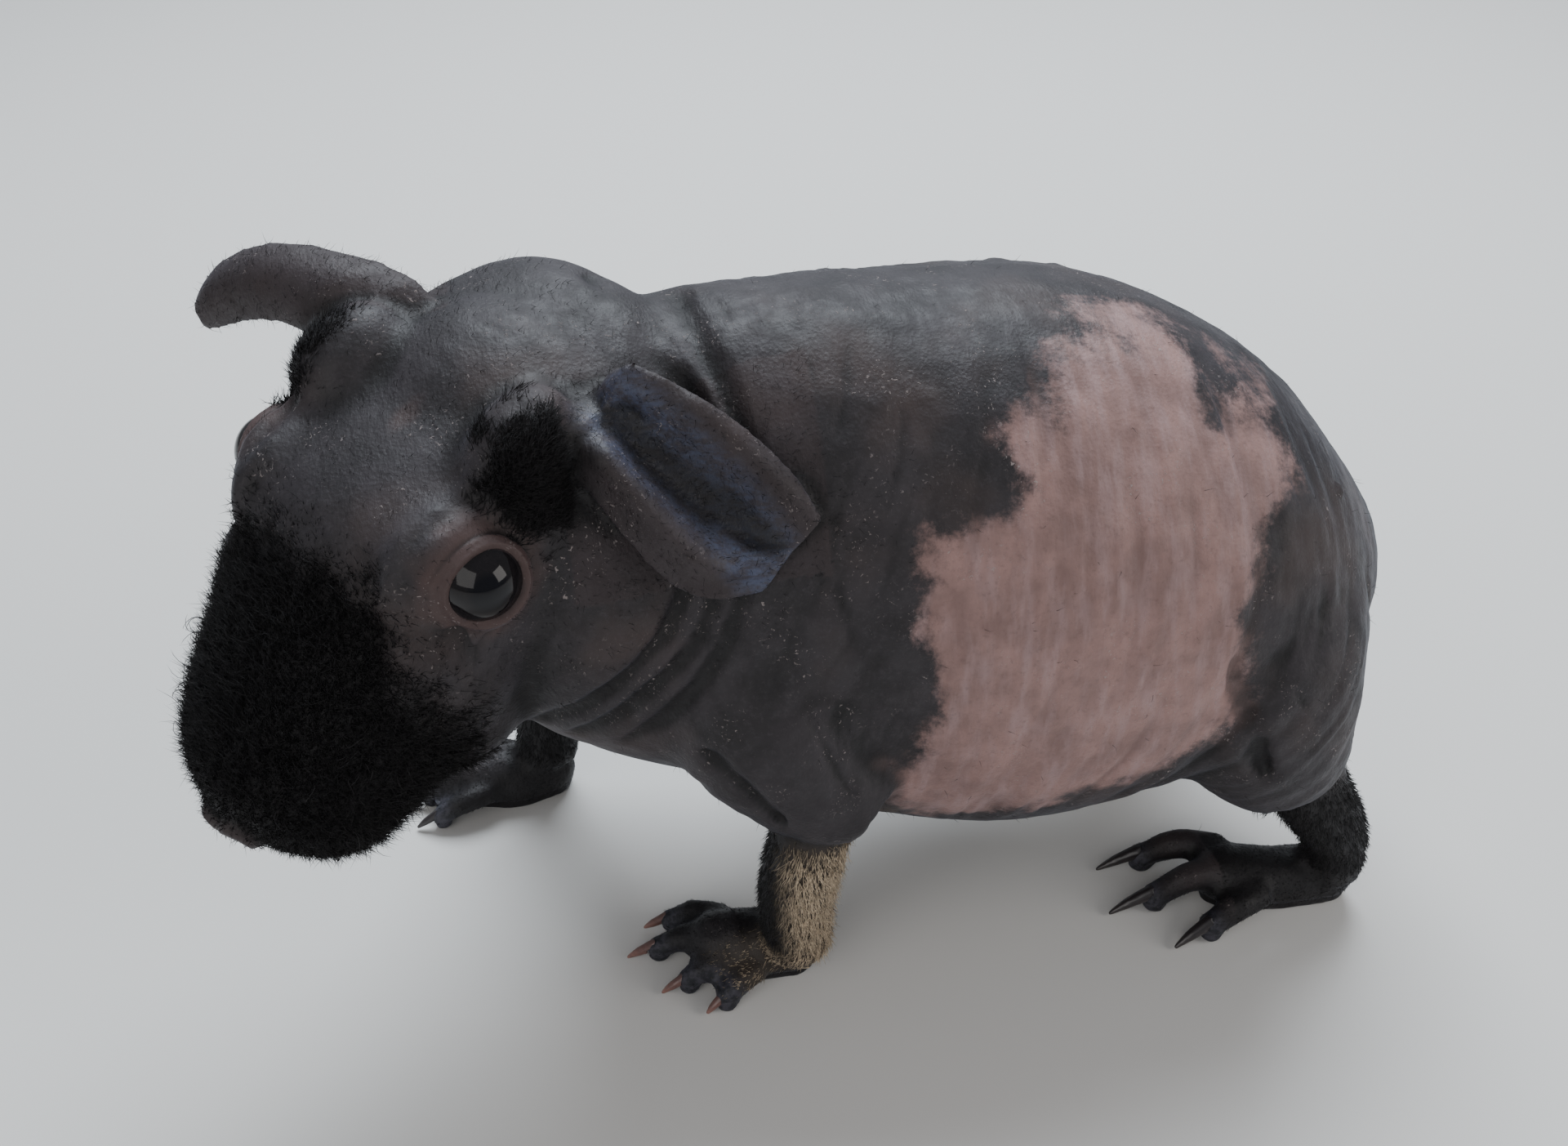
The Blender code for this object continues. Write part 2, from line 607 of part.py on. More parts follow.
def claw_mesh(matrix, toe, radius):
    """A curved, tapered claw from inside the toe's pad down to its tip."""
    pad, tip = Vector(toe[2]), Vector(toe[3])
    start = pad + (pad - tip).normalized() * 0.6 + Vector((0.0, 0.0, 0.5))
    rise = Vector((0.0, 0.0, 0.28 * (tip - pad).length * 0.5))
    places = [start, pad.lerp(tip, 0.35) + rise, pad.lerp(tip, 0.7) + rise * 0.6, tip]
    places = [in_foot(matrix, place) for place in places]
    return tube_mesh("claw", places, (radius, radius * 0.9, radius * 0.6, radius * 0.22), 7, 2)


def clear_of(mesh, other, solver="EXACT"):
    """What is left of a piece where its neighbour, and a thin gap round that, is cut away."""
    return combined(mesh, inflated(other, 1.15 * GAP), "DIFFERENCE", solver)


def limb_from(torso, plug):
    """A limb cut out of the torso by a plug, and the torso without it."""
    inner = tube_mesh("plug", *plug, sides=14, steps=2)
    limb = combined(torso, inner, "INTERSECT")
    return limb, combined(torso, inflated(inner, 1.4 * GAP), "DIFFERENCE")


MATERIALS = {
    "skin": ((0.055, 0.048, 0.052), 0.55),
    "short_black_fur": ((0.012, 0.011, 0.012), 0.7),
    "eye_glass": ((0.01, 0.01, 0.014), 0.08),
    "claw": ((0.11, 0.06, 0.05), 0.4),
}


def material(name):
    """One Principled material for each finish."""
    found = bpy.data.materials.get(name)
    if found:
        return found
    colour, roughness = MATERIALS[name]
    made = bpy.data.materials.new(name)
    made.use_nodes = True
    shader = made.node_tree.nodes["Principled BSDF"]
    shader.inputs["Base Color"].default_value = (*colour, 1.0)
    shader.inputs["Roughness"].default_value = roughness
    shader.inputs["Metallic"].default_value = 0.0
    made.diffuse_color = (*colour, 1.0)
    return made


def place_piece(name, mesh, finish, collection):
    """One finished piece, moved with the whole animal and shaded smooth."""
    mesh = triangulated(mesh)
    mesh.transform(Matrix.Translation(SHIFT))
    mesh.name = name
    mesh.shade_smooth()
    mesh.materials.clear()
    mesh.materials.append(material(finish))
    obj = new_object(name, mesh, collection)
    print(name, len(mesh.polygons))
    return obj


def clear_scene():
    for obj in list(bpy.data.objects):
        bpy.data.objects.remove(obj)


def build_body(pieces, flesh):
    """Head, neck, torso and upper limbs from the one body of flesh."""
    half = GAP / 2
    (head_point, head_side), (neck_point, neck_side) = HEAD_CUT, NECK_CUT
    head = cut_by(flesh, head_point * MM + head_side * half, head_side)
    neck = cut_by(flesh, head_point * MM - head_side * half, -head_side)
    neck = cut_by(neck, neck_point * MM + neck_side * half, neck_side)
    torso = cut_by(flesh, neck_point * MM - neck_side * half, -neck_side)
    plugs = (
        ("front_leg_left_upper", ARM_PLUG_LEFT),
        ("front_leg_right_upper", ARM_PLUG_RIGHT),
        ("hind_leg_left_upper", THIGH_PLUG_LEFT),
        ("hind_leg_right_upper", THIGH_PLUG_RIGHT),
    )
    for name, plug in plugs:
        pieces[name], torso = limb_from(torso, plug)
    pieces["head"] = finished_head(head)
    pieces["neck"] = neck
    pieces["torso"] = torso


def build_limbs(pieces, flesh):
    """Lower legs, feet and claws."""
    limbs = (
        ("front", "left", FOREARM_LEFT, foot_matrix(FRONT_HEEL_LEFT, FRONT_TURN_LEFT, 1)),
        ("front", "right", FOREARM_RIGHT, foot_matrix(FRONT_HEEL_RIGHT, FRONT_TURN_RIGHT, -1)),
        ("hind", "left", SHANK_LEFT, foot_matrix(HIND_HEEL_LEFT, HIND_TURN, 1)),
        ("hind", "right", SHANK_RIGHT, foot_matrix(HIND_HEEL_RIGHT, HIND_TURN, -1)),
    )
    for end, side, lower, matrix in limbs:
        front = end == "front"
        toes = FRONT_TOES if front else HIND_TOES
        sole = FRONT_SOLE if front else HIND_SOLE
        toe_radius = FRONT_TOE_RADIUS if front else HIND_TOE_RADIUS
        claw_radius = FRONT_CLAW_RADIUS if front else HIND_CLAW_RADIUS
        foot = foot_mesh(matrix, sole, toes, toe_radius)
        leg = tube_mesh("leg", *lower, sides=12, steps=2)
        leg = clear_of(leg, flesh)
        leg = clear_of(leg, foot)
        pieces[f"{end}_leg_{side}_lower"] = leg
        pieces[f"{end}_foot_{side}"] = foot
        for number, toe in enumerate(toes, 1):
            claw = claw_mesh(matrix, toe, claw_radius)
            pieces[f"{end}_claw_{side}_{number}"] = clear_of(claw, foot)


def build_head_pieces(pieces, flesh):
    """Ears and eyes."""
    for name, side in (("left", 1), ("right", -1)):
        pieces["ear_" + name] = clear_of(ear_mesh(side), flesh, "MANIFOLD")
        pieces["eye_" + name] = eye_mesh(side, EYE_RADIUS, 18, 10)


def finish_for(name):
    if "claw" in name:
        return "claw"
    if name.startswith("eye"):
        return "eye_glass"
    if "foot" in name or "lower" in name:
        return "short_black_fur"
    return "skin"


def main():
    clear_scene()
    collection = bpy.data.collections.new("hairless_guinea_pig")
    bpy.context.scene.collection.children.link(collection)
    pieces = {}
    flesh = fused_flesh()
    build_body(pieces, flesh)
    build_limbs(pieces, flesh)
    build_head_pieces(pieces, flesh)
    for name, mesh in pieces.items():
        place_piece(name, mesh, finish_for(name), collection)
    print("triangles in all", sum(len(o.data.polygons) for o in collection.objects))


main()
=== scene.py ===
"""A young hairless guinea pig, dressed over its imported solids: skin, lids, eyes, claws and short coat.

One skin replaces every node of flesh, so that no seam shows. Folds, lids, lips and wrinkles are raised
in it by formula. Short fur, fuzz and whiskers are solid meshes rooted on that skin, and its pale flakes
are drawn in its material.
Lengths are in mm where a name or a table says so, and in metres in the meshes.
"""

import math

import bmesh
import bpy
import numpy as np
from mathutils import Matrix, Vector


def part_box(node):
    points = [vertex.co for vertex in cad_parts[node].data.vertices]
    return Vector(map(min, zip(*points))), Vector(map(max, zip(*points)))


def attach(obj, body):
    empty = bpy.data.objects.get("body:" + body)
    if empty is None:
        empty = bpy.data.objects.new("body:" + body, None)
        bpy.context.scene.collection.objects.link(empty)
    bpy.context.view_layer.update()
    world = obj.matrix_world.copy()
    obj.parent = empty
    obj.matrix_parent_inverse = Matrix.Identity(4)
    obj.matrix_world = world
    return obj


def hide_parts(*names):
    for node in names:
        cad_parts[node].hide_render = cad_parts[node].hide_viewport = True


bl_info = {
    "name": "Hairless guinea pig",
    "version": (1, 0, 0),
    "blender": (4, 5, 0),
    "location": "View3D > Sidebar > Guinea Pig",
    "description": "Dresses the packed guinea pig in skin, eyes, claws and a short coat",
    "category": "Object",
}

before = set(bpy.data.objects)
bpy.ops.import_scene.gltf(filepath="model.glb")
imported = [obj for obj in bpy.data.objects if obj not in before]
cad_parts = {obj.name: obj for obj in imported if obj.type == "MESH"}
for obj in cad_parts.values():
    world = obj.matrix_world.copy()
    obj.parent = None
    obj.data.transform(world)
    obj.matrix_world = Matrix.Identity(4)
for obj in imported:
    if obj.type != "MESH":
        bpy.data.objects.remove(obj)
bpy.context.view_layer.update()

MM = 0.001
SEED = 7

# How far the flesh is grown before it is fused, and how far the eyes are drawn in.
SKIN_GROWTH = 0.38 * MM
EYE_GROWTH = -0.6 * MM
# Below this height the grown skin isn't drawn back, so that the feet keep to the floor.
SOLE_HEIGHT = 0.8 * MM
# The skin's faces are split once within this distance of an eye's middle.
FINE_ROUND_EYE = 10.5 * MM
# Depth of the coat in mm: on the muzzle, on a foot, and what a lower leg has more.
MUZZLE_COAT = 1.5
FOOT_COAT = 0.2
LEG_COAT = 0.5
# How far a furred leg's box reaches past its node's box, in metres.
LEG_BOX_MARGIN = 0.0012
# A small raised dot on the rump, in mm as the body was measured.
RUMP_DOT = (46.9, -15.4, 65.8)
# The eyeball's window: where it begins, as a share of the way to the pole, and how far it stands out.
WINDOW_START = 0.72
WINDOW_RISE = 0.12
# How many hairs of each kind there are, and how thick each is in mm.
HAIRS = {"muzzle_fur": 42000, "leg_fur": 34000, "ear_root_fur": 9000, "sparse_fuzz": 5200, "whiskers": 44}
THICK = {"muzzle_fur": 0.11, "leg_fur": 0.13, "ear_root_fur": 0.12, "sparse_fuzz": 0.07, "whiskers": 0.17}
# Sides of a hair, the share of its thickness lost by its tip, and the span it takes up on the baked map.
HAIR_SIDES = 3
HAIR_TAPER = 0.72
BAKED_SPAN = 0.003

# The head's axes, as in the solids: turned to its left, nose down, rolled a little.
HEAD_TURN = 37.0
HEAD_PITCH = 36.0
HEAD_ROLL = -6.0
# The eyes' place from the middle of the head's axes, and the way the left one looks.
EYE_AHEAD = -0.7
EYE_ABOVE = 1.0
EYE_LOOK = Vector((0.22, 0.85, 0.45)).normalized()
# Where the middle of the head's axes lay while the animal was measured, in mm.
MEASURED_HEAD = Vector((-64.38, -12.79, 75.70))

ENDS = ("front", "hind")
SIDES = ("left", "right")
LEG_NODES = [f"{end}_leg_{side}_{part}" for end in ENDS for side in SIDES for part in ("upper", "lower")]
FOOT_NODES = [f"{end}_foot_{side}" for end in ENDS for side in SIDES]
EAR_NODES = [f"ear_{side}" for side in SIDES]
EYE_NODES = [f"eye_{side}" for side in SIDES]
FLESH_NODES = ["head", "neck", "torso"] + LEG_NODES + FOOT_NODES + EAR_NODES
CLAW_COUNTS = {"front": 4, "hind": 3}
CLAW_NODES = [f"{end}_claw_{side}_{i + 1}" for end in ENDS for side in SIDES for i in range(CLAW_COUNTS[end])]


def head_axes():
    """Forward, left and up of the head, as unit vectors."""
    turn, pitch, roll = (math.radians(a) for a in (HEAD_TURN, HEAD_PITCH, HEAD_ROLL))
    level = Vector((-math.cos(turn), -math.sin(turn), 0.0))
    forward = level * math.cos(pitch) + Vector((0.0, 0.0, -math.sin(pitch)))
    flat_left = Vector((0.0, 0.0, 1.0)).cross(level)
    flat_up = forward.cross(flat_left)
    left = flat_left * math.cos(roll) + flat_up * math.sin(roll)
    return forward, left, forward.cross(left)


def box_middle(node):
    low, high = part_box(node)
    return (Vector(low) + Vector(high)) / 2


FORWARD, LEFT, UP = head_axes()
EYES_MIDDLE = (box_middle("eye_left") + box_middle("eye_right")) / 2
HEAD_MIDDLE = EYES_MIDDLE - (FORWARD * EYE_AHEAD + UP * EYE_ABOVE) * MM
SHIFT = HEAD_MIDDLE - MEASURED_HEAD * MM


def on_head(forward, left, up):
    """A point given in mm along the head's axes."""
    return HEAD_MIDDLE + (FORWARD * forward + LEFT * left + UP * up) * MM


def on_body(x, y, z):
    """A point given in mm as the body was measured."""
    return SHIFT + Vector((x, y, z)) * MM


# Folds pressed into the skin: places in mm as the body was measured, half width, depth.
BODY_FOLDS = (
    (((-31, -21, 75), (-32.5, -22, 70), (-36.5, -24, 62.5), (-44, -23, 55), (-50, -19, 49)), 1.05, 2.5),
    (((-29, -22, 74), (-30.5, -23, 69), (-33.5, -24, 61), (-40.5, -23, 53), (-47, -19, 46)), 1.0, 2.4),
    (((-26.3, -22.5, 73), (-27.5, -23.5, 68.5), (-30, -24.5, 61), (-36, -23.5, 52), (-43, -20, 44)), 1, 1.6),
    (((-38, 7, 93.5), (-37, -1, 94.5), (-35, -5, 92.5), (-32, -9, 88.5), (-30, -13, 84.5)), 1.4, 1.9),
    (((-30.5, 4, 91.5), (-29.6, -3.5, 90), (-27.3, -10.8, 86.6), (-25.5, -16.5, 82)), 1.0, 0.55),
    (((-25.5, 2, 91), (-24.4, -6, 89), (-22, -13, 84.5), (-20.5, -18, 79)), 0.9, 0.4),
    (((-33.5, -25, 48), (-31, -27, 46), (-28.5, -28.3, 43.5), (-25.5, -29, 39.5), (-23, -28, 36)), 1.1, 1),
    (((-23, -25, 62), (-20.5, -28, 52), (-16.5, -29.5, 42), (-13.5, -29, 35)), 0.9, 0.35),
    (((-17.5, -24, 70), (-15, -28, 58), (-11, -29.5, 46), (-9.5, -29, 36)), 0.9, 0.3),
    (((28, -30, 56), (30.2, -31, 49), (33.5, -32, 41), (36, -30.5, 35)), 1.4, 0.8),
    (((33, -30, 56), (37, -31.5, 49), (42, -31.5, 42)), 1.1, 0.4),
    (((28, 30, 56), (30.2, 31, 49), (33.5, 32, 41), (36, 30.5, 35)), 1.4, 0.8),
    (((50, -20, 60), (52.5, -19, 52), (53, -18, 44)), 1.1, 0.35),
)


def length_setting(name, description, default, low, high):
    return bpy.props.FloatProperty(
        name=name, description=description, default=default, min=low, max=high, subtype="DISTANCE",
        unit="LENGTH", precision=5)


def colour_setting(name, description, default):
    return bpy.props.FloatVectorProperty(
        name=name, description=description, default=default, size=3, min=0.0, max=1.0, subtype="COLOR")


class ANIMAL_PG_looks(bpy.types.PropertyGroup):
    """Sizes and colours that a user would change."""

    voxel: length_setting(
        "Skin cell", "Size of the cells that the skin is fused from", 0.00055, 0.0003, 0.002)
    muzzle_fur: length_setting("Muzzle fur", "Length of the fur on the muzzle", 0.0024, 0.0, 0.01)
    leg_fur: length_setting("Leg fur", "Length of the fur on legs and feet", 0.0019, 0.0, 0.01)
    density: bpy.props.FloatProperty(
        name="Density", description="Share of the full number of hairs", default=1.0, min=0.05, max=1.5,
        subtype="FACTOR")
    skin_dark: colour_setting("Dark skin", "Colour of the bare dark skin", (0.026, 0.0225, 0.0255))
    skin_pink: colour_setting("Pink skin", "Colour of the flank patch", (0.285, 0.175, 0.160))
    fur_black: colour_setting("Black fur", "Colour of the black fur", (0.0055, 0.0050, 0.0055))
    fur_cream: colour_setting("Cream fur", "Colour of the pale hair on the near foreleg", (0.62, 0.50, 0.36))


def looks():
    return bpy.context.scene.animal_looks


# Small tools on meshes and arrays.


def places_of(mesh):
    found = np.empty(len(mesh.vertices) * 3)
    mesh.vertices.foreach_get("co", found)
    return found.reshape(-1, 3)


def normals_of(mesh):
    found = np.empty(len(mesh.vertices) * 3)
    mesh.vertices.foreach_get("normal", found)
    return found.reshape(-1, 3)


def set_places(mesh, places):
    mesh.vertices.foreach_set("co", np.asarray(places, float).ravel())
    mesh.update()


def mesh_from(bm, name):
    mesh = bpy.data.meshes.new(name)
    bm.to_mesh(mesh)
    bm.free()
    return mesh


def new_object(name, mesh):
    obj = bpy.data.objects.new(name, mesh)
    bpy.context.scene.collection.objects.link(obj)
    return obj


def set_mark(mesh, name, values):
    """Writes one number on each point of a mesh, for a material to read."""
    layer = mesh.attributes.new(name, "FLOAT", "POINT")
    layer.data.foreach_set("value", np.asarray(values, np.float32))


def with_modifier(mesh, kind, **settings):
    """The mesh after one modifier."""
    obj = new_object("work", mesh)
    modifier = obj.modifiers.new("one", kind)
    for key, value in settings.items():
        setattr(modifier, key, value)
    graph = bpy.context.evaluated_depsgraph_get()
    made = bpy.data.meshes.new_from_object(obj.evaluated_get(graph), depsgraph=graph)
    bpy.data.objects.remove(obj)
    return made


def unit_rows(rows):
    """Each row as a vector of length one."""
    return rows / np.maximum(np.linalg.norm(rows, axis=1), 1e-12)[:, None]


def smoothstep(low, high, value):
    t = np.clip((value - low) / (high - low), 0.0, 1.0)
    return t * t * (3 - 2 * t)


def hashed(ix, iy, iz, seed):
    """A repeatable number between 0 and 1 for each cell of a lattice."""
    n = (ix * 374761393 + iy * 668265263 + iz * 2147483647 + seed * 974634777) & 0xFFFFFFFF
    n = ((n ^ (n >> 13)) * 1274126177) & 0xFFFFFFFF
    return ((n ^ (n >> 16)) & 0xFFFFFF) / float(0xFFFFFF)


def noise(places, seed=0):
    """Smooth noise from -1 to 1 at places given in cells."""
    base = np.floor(places).astype(np.int64)
    t = places - base
    t = t * t * (3 - 2 * t)
    total = np.zeros(len(places))
    for dx in (0, 1):
        for dy in (0, 1):
            for dz in (0, 1):
                share = np.abs(1 - dx - t[:, 0]) * np.abs(1 - dy - t[:, 1]) * np.abs(1 - dz - t[:, 2])
                total += share * hashed(base[:, 0] + dx, base[:, 1] + dy, base[:, 2] + dz, seed)
    return total * 2 - 1


def smooth_between(rows, steps):
    """Rows of numbers joined by a Catmull-Rom curve, with steps spans between each two."""
    rows = np.array(rows, float)
    ends = np.vstack([2 * rows[0] - rows[1], rows, 2 * rows[-1] - rows[-2]])
    found = []
    for i in range(1, len(ends) - 2):
        a, b, c, d = ends[i - 1 : i + 3]
        for t in np.arange(steps) / steps:
            bend = (2 * a - 5 * b + 4 * c - d) * t**2 + (3 * b - a - 3 * c + d) * t**3
            found.append(0.5 * (2 * b + (c - a) * t + bend))
    found.append(rows[-1])
    return np.array(found)


def away_from_line(places, line):
    """Distance of each place to a line of points, and how far along the nearest point lies."""
    near = np.full(len(places), 1e9)
    along = np.zeros(len(places))
    for i, (one, two) in enumerate(zip(line, line[1:])):
        way = two - one
        t = np.clip(((places - one) @ way) / max(way @ way, 1e-12), 0, 1)
        d = np.linalg.norm(places - (one + t[:, None] * way), axis=1)
        closer = d < near
        near[closer] = d[closer]
        along[closer] = (i + t[closer]) / (len(line) - 1)
    return near, along


def head_coordinates(places):
    """Each place in mm along the head's axes."""
    off = places - np.array(HEAD_MIDDLE)
    return np.stack([off @ np.array(FORWARD), off @ np.array(LEFT), off @ np.array(UP)], axis=1) / MM


def body_coordinates(places):
    """Each place in mm as the body was measured."""
    return (places - np.array(SHIFT)) / MM


# Where things grow and how the skin is marked. Skin and coat read the same functions.


def muzzle_share(places):
    """How thickly the muzzle's fur grows, from 0 to 1."""
    f, l, u = head_coordinates(places).T
    wave = 1.8 * noise(places / (3.0 * MM), 11)
    side = smoothstep(9.0, 16.0, np.abs(l))
    edge = 5.5 + 6.0 * side + 4.0 * smoothstep(-10.0, -20.0, u)
    share = smoothstep(edge - 5.0, edge + 6.5, f + wave) ** 1.4
    on_the_head = smoothstep(-38.0, -32.0, u) * smoothstep(30.0, 26.0, np.abs(l))
    return share * on_the_head * (1 - nose_share(places))


def nose_share(places):
    """The bare leather of the nose and the cleft under it."""
    f, l, u = head_coordinates(places).T
    pad = np.sqrt(((f - 37.0) / 3.2) ** 2 + ((np.abs(l) - 1.8) / 2.4) ** 2 + ((u + 8.0) / 2.9) ** 2)
    cleft = np.sqrt((l / 1.2) ** 2 + ((u + 13.0) / 4.5) ** 2) + 3 * smoothstep(34.0, 31.0, f)
    return np.maximum(0.85 * smoothstep(1.3, 0.7, pad), 0.6 * smoothstep(1.2, 0.8, cleft))


def ear_patch_share(places):
    """The dark patch of short hair between the eye and the root of each ear."""
    f, l, u = head_coordinates(places).T
    across = np.abs(l)
    d = np.sqrt(((f + 12.5) / 6.8) ** 2 + ((across - 15.5) / 6.0) ** 2 + ((u - 1.5) / 7.0) ** 2)
    return smoothstep(1.3, 0.5, d + 0.25 * noise(places / (2.2 * MM), 12))


def toe_share(places):
    """The barer ends of the toes, near the claws."""
    share = np.zeros(len(places))
    for node in CLAW_NODES:
        d = np.linalg.norm(places - np.array(box_middle(node)), axis=1)
        share = np.maximum(share, smoothstep(6.5 * MM, 3.5 * MM, d))
    return share


def lower_leg_share(places, boxes):
    """How thickly the lower legs and feet are furred."""
    share = np.zeros(len(places))
    for low, high, front in boxes:
        low, high = np.array(low) - LEG_BOX_MARGIN, np.array(high) + LEG_BOX_MARGIN
        inside = np.all((places > low) & (places < high), axis=1)
        top = high[2] - (0.001 if front else 0.003)
        fade = smoothstep(top + 0.001, top - 0.004, places[:, 2])
        share = np.maximum(share, inside * fade)
    return share


def cream_share(places):
    """The pale hair on the outer and rear side of the near foreleg."""
    x, y, z = body_coordinates(places).T
    rear = smoothstep(-23.5, -19.0, x - 0.35 * (y + 22.0) + 0.9 * noise(places / (1.6 * MM), 13))
    outer = smoothstep(-20.0, -23.0, y)
    along = smoothstep(2.5, 6.0, z) * smoothstep(34.0, 30.0, z)
    near = (x > -34) & (x < -8) & (y < -15)
    leg = np.clip(rear * 0.75 + outer * rear * 0.4, 0, 1) * along * near
    ahead = smoothstep(-34.0, -28.0, x + noise(places / (1.2 * MM), 14))
    on_top = smoothstep(11.0, 8.0, z) * smoothstep(2.0, 4.0, z) * ahead
    foot = on_top * smoothstep(-18.0, -21.0, y) * near
    return np.maximum(leg, 0.85 * foot)


# The flank patch's outline on the left side, as x and z in mm, clockwise from its top.
PATCH = (
    (17, 87.5), (24, 87), (31, 82.5), (38, 77), (36.5, 70), (31, 64.5), (30, 57), (31, 50), (28.5, 43.5),
    (20, 37.5), (8, 32), (-6, 29), (-10.5, 36), (-9.5, 44), (-6, 52), (-7.5, 60), (-8.5, 68), (-6.5, 73),
    (-0.5, 75.5), (2.5, 78.5), (1, 82.5), (5, 84.5), (11, 86.5),
)
# Darker blotches inside it: x and z in mm, radius, strength.
BLOTCHES = (
    (29.0, 81.0, 4.2, 0.75), (36.0, 66.0, 4.0, 0.7), (30.0, 60.0, 3.2, 0.5), (0.0, 77.0, 3.5, 0.6),
    (8.0, 83.5, 2.5, 0.4),
)


def inside_outline(x, z, outline):
    """Signed distance to a closed outline, positive inside."""
    points = np.array(outline, float)
    near = np.full(len(x), 1e9)
    inside = np.zeros(len(x), bool)
    here = np.stack([x, z], axis=1)
    for one, two in zip(points, np.roll(points, -1, axis=0)):
        way = two - one
        t = np.clip(((here - one) @ way) / (way @ way), 0, 1)
        near = np.minimum(near, np.linalg.norm(here - (one + t[:, None] * way), axis=1))
        crosses = (one[1] > z) != (two[1] > z)
        with np.errstate(divide="ignore", invalid="ignore"):
            at = one[0] + (z - one[1]) / (two[1] - one[1]) * (two[0] - one[0])
        inside ^= crosses & (x < at)
    return np.where(inside, near, -near)


def pink_share(places):
    """The pinkish patch on the left flank, with mottled edges."""
    x, y, z = body_coordinates(places).T
    wobble = 1.9 * noise(places / (4.5 * MM), 21) + 1.2 * noise(places / (1.9 * MM), 22)
    depth = inside_outline(x, z, PATCH) + wobble
    rear = smoothstep(24.0, 34.0, x)
    share = smoothstep(-3.0 - 1.5 * rear, 3.4 + 2.5 * rear, depth)
    for cx, cz, radius, strength in BLOTCHES:
        d = np.hypot(x - cx, z - cz) / radius + 0.35 * noise(places / (2.4 * MM), 23)
        share = share * (1 - strength * smoothstep(1.25, 0.3, d))
    return share * smoothstep(1.0, -4.0, y)


def sheen_and_smooth_share(places):
    """Smoother skin in the valley of the near ear, where the light slides over it, and where a blue sheen is
    painted into its colour.
    """
    valley = body_line(((-39, -17, 89), (-34, -21, 85), (-29, -24, 79.5), (-25.5, -26, 74)))
    near, _ = away_from_line(places, valley)
    return smoothstep(5.4 * MM, 2.4 * MM, near) * ear_share(places)


def rose_share(places):
    """Reddish brown skin: round the eyes, on the brow and round the nose."""
    f, l, u = head_coordinates(places).T
    share = np.zeros(len(places))
    for side in (1, -1):
        d = np.sqrt((f - EYE_AHEAD) ** 2 + (l - side * 16.7) ** 2 + (u - 2.0) ** 2)
        share = np.maximum(share, smoothstep(8.2, 4.6, d + 0.9 * noise(places / (2.0 * MM), 31)))
    brow = np.sqrt((f + 11.0) ** 2 + ((l - 0.4) * 1.8) ** 2 + ((u - 6.8) * 0.5) ** 2)
    share = np.maximum(share, 0.6 * smoothstep(3.4, 0.8, brow + noise(places / (1.5 * MM), 32)))
    nose = np.sqrt((f - 36.0) ** 2 + (l * 0.8) ** 2 + (u + 8.0) ** 2)
    share = np.maximum(share, 0.5 * smoothstep(5.0, 2.5, nose))
    return share


# The skin.


def clean_copy(node, grow):
    """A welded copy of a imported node's mesh, grown by a distance along its normals."""
    bm = bmesh.new()
    bm.from_mesh(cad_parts[node].data)
    bmesh.ops.remove_doubles(bm, verts=bm.verts, dist=0.001 * MM)
    bm.normal_update()
    moves = [v.normal * grow for v in bm.verts]
    for v, move in zip(bm.verts, moves):
        v.co += move
    return bm


def fused_skin():
    """All the flesh as one closed surface."""
    whole = bmesh.new()
    for node in FLESH_NODES + EYE_NODES:
        part = clean_copy(node, EYE_GROWTH if node in EYE_NODES else SKIN_GROWTH)
        piece = mesh_from(part, node)
        whole.from_mesh(piece)
        bpy.data.meshes.remove(piece)
    mesh = mesh_from(whole, "skin")
    mesh = with_modifier(mesh, "REMESH", mode="VOXEL", voxel_size=looks().voxel)
    mesh = with_modifier(mesh, "SMOOTH", factor=0.5, iterations=4)
    places, normals = places_of(mesh), normals_of(mesh)
    off_ear = 1 - ear_share(places)
    shrink = np.where(places[:, 2] < SOLE_HEIGHT, 0.0, SKIN_GROWTH)
    set_places(mesh, places - normals * shrink[:, None])
    return relaxed(mesh, 10, off_ear)


def ear_share(places):
    """Which places are on the thin sheet of an ear."""
    share = np.zeros(len(places))
    for node in EAR_NODES:
        low, high = (np.array(c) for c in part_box(node))
        inside = np.all((places > low - 0.001) & (places < high + 0.001), axis=1)
        share = np.maximum(share, inside.astype(float))
    return share


def neighbours(mesh):
    edges = np.empty(len(mesh.edges) * 2, np.int64)
    mesh.edges.foreach_get("vertices", edges)
    return edges.reshape(-1, 2)


def neighbour_middles(places, edges):
    """The middle of each point's neighbours."""
    count = np.bincount(edges.ravel(), minlength=len(places)).astype(float)[:, None]
    total = np.zeros_like(places)
    for axis in range(3):
        total[:, axis] = np.bincount(edges[:, 0], places[edges[:, 1], axis], len(places))
        total[:, axis] += np.bincount(edges[:, 1], places[edges[:, 0], axis], len(places))
    return total / count


def relaxed(mesh, rounds, share):
    """Evens the surface out without much shrinking, only as much as share says."""
    places = places_of(mesh)
    edges = neighbours(mesh)
    for step in range(rounds):
        pull = 0.52 if step % 2 == 0 else -0.54
        places += (neighbour_middles(places, edges) - places) * (pull * share)[:, None]
    set_places(mesh, places)
    return mesh


def finer_where(mesh, chosen):
    """Splits the chosen faces once."""
    bm = bmesh.new()
    bm.from_mesh(mesh)
    bm.verts.ensure_lookup_table()
    faces = [f for f in bm.faces if all(chosen[v.index] for v in f.verts)]
    edges = list({e for f in faces for e in f.edges})
    bmesh.ops.subdivide_edges(bm, edges=edges, cuts=1, use_grid_fill=True, smooth=0.0)
    bad = [f for f in bm.faces if len(f.verts) > 4]
    bmesh.ops.triangulate(bm, faces=bad)
    return mesh_from(bm, mesh.name)


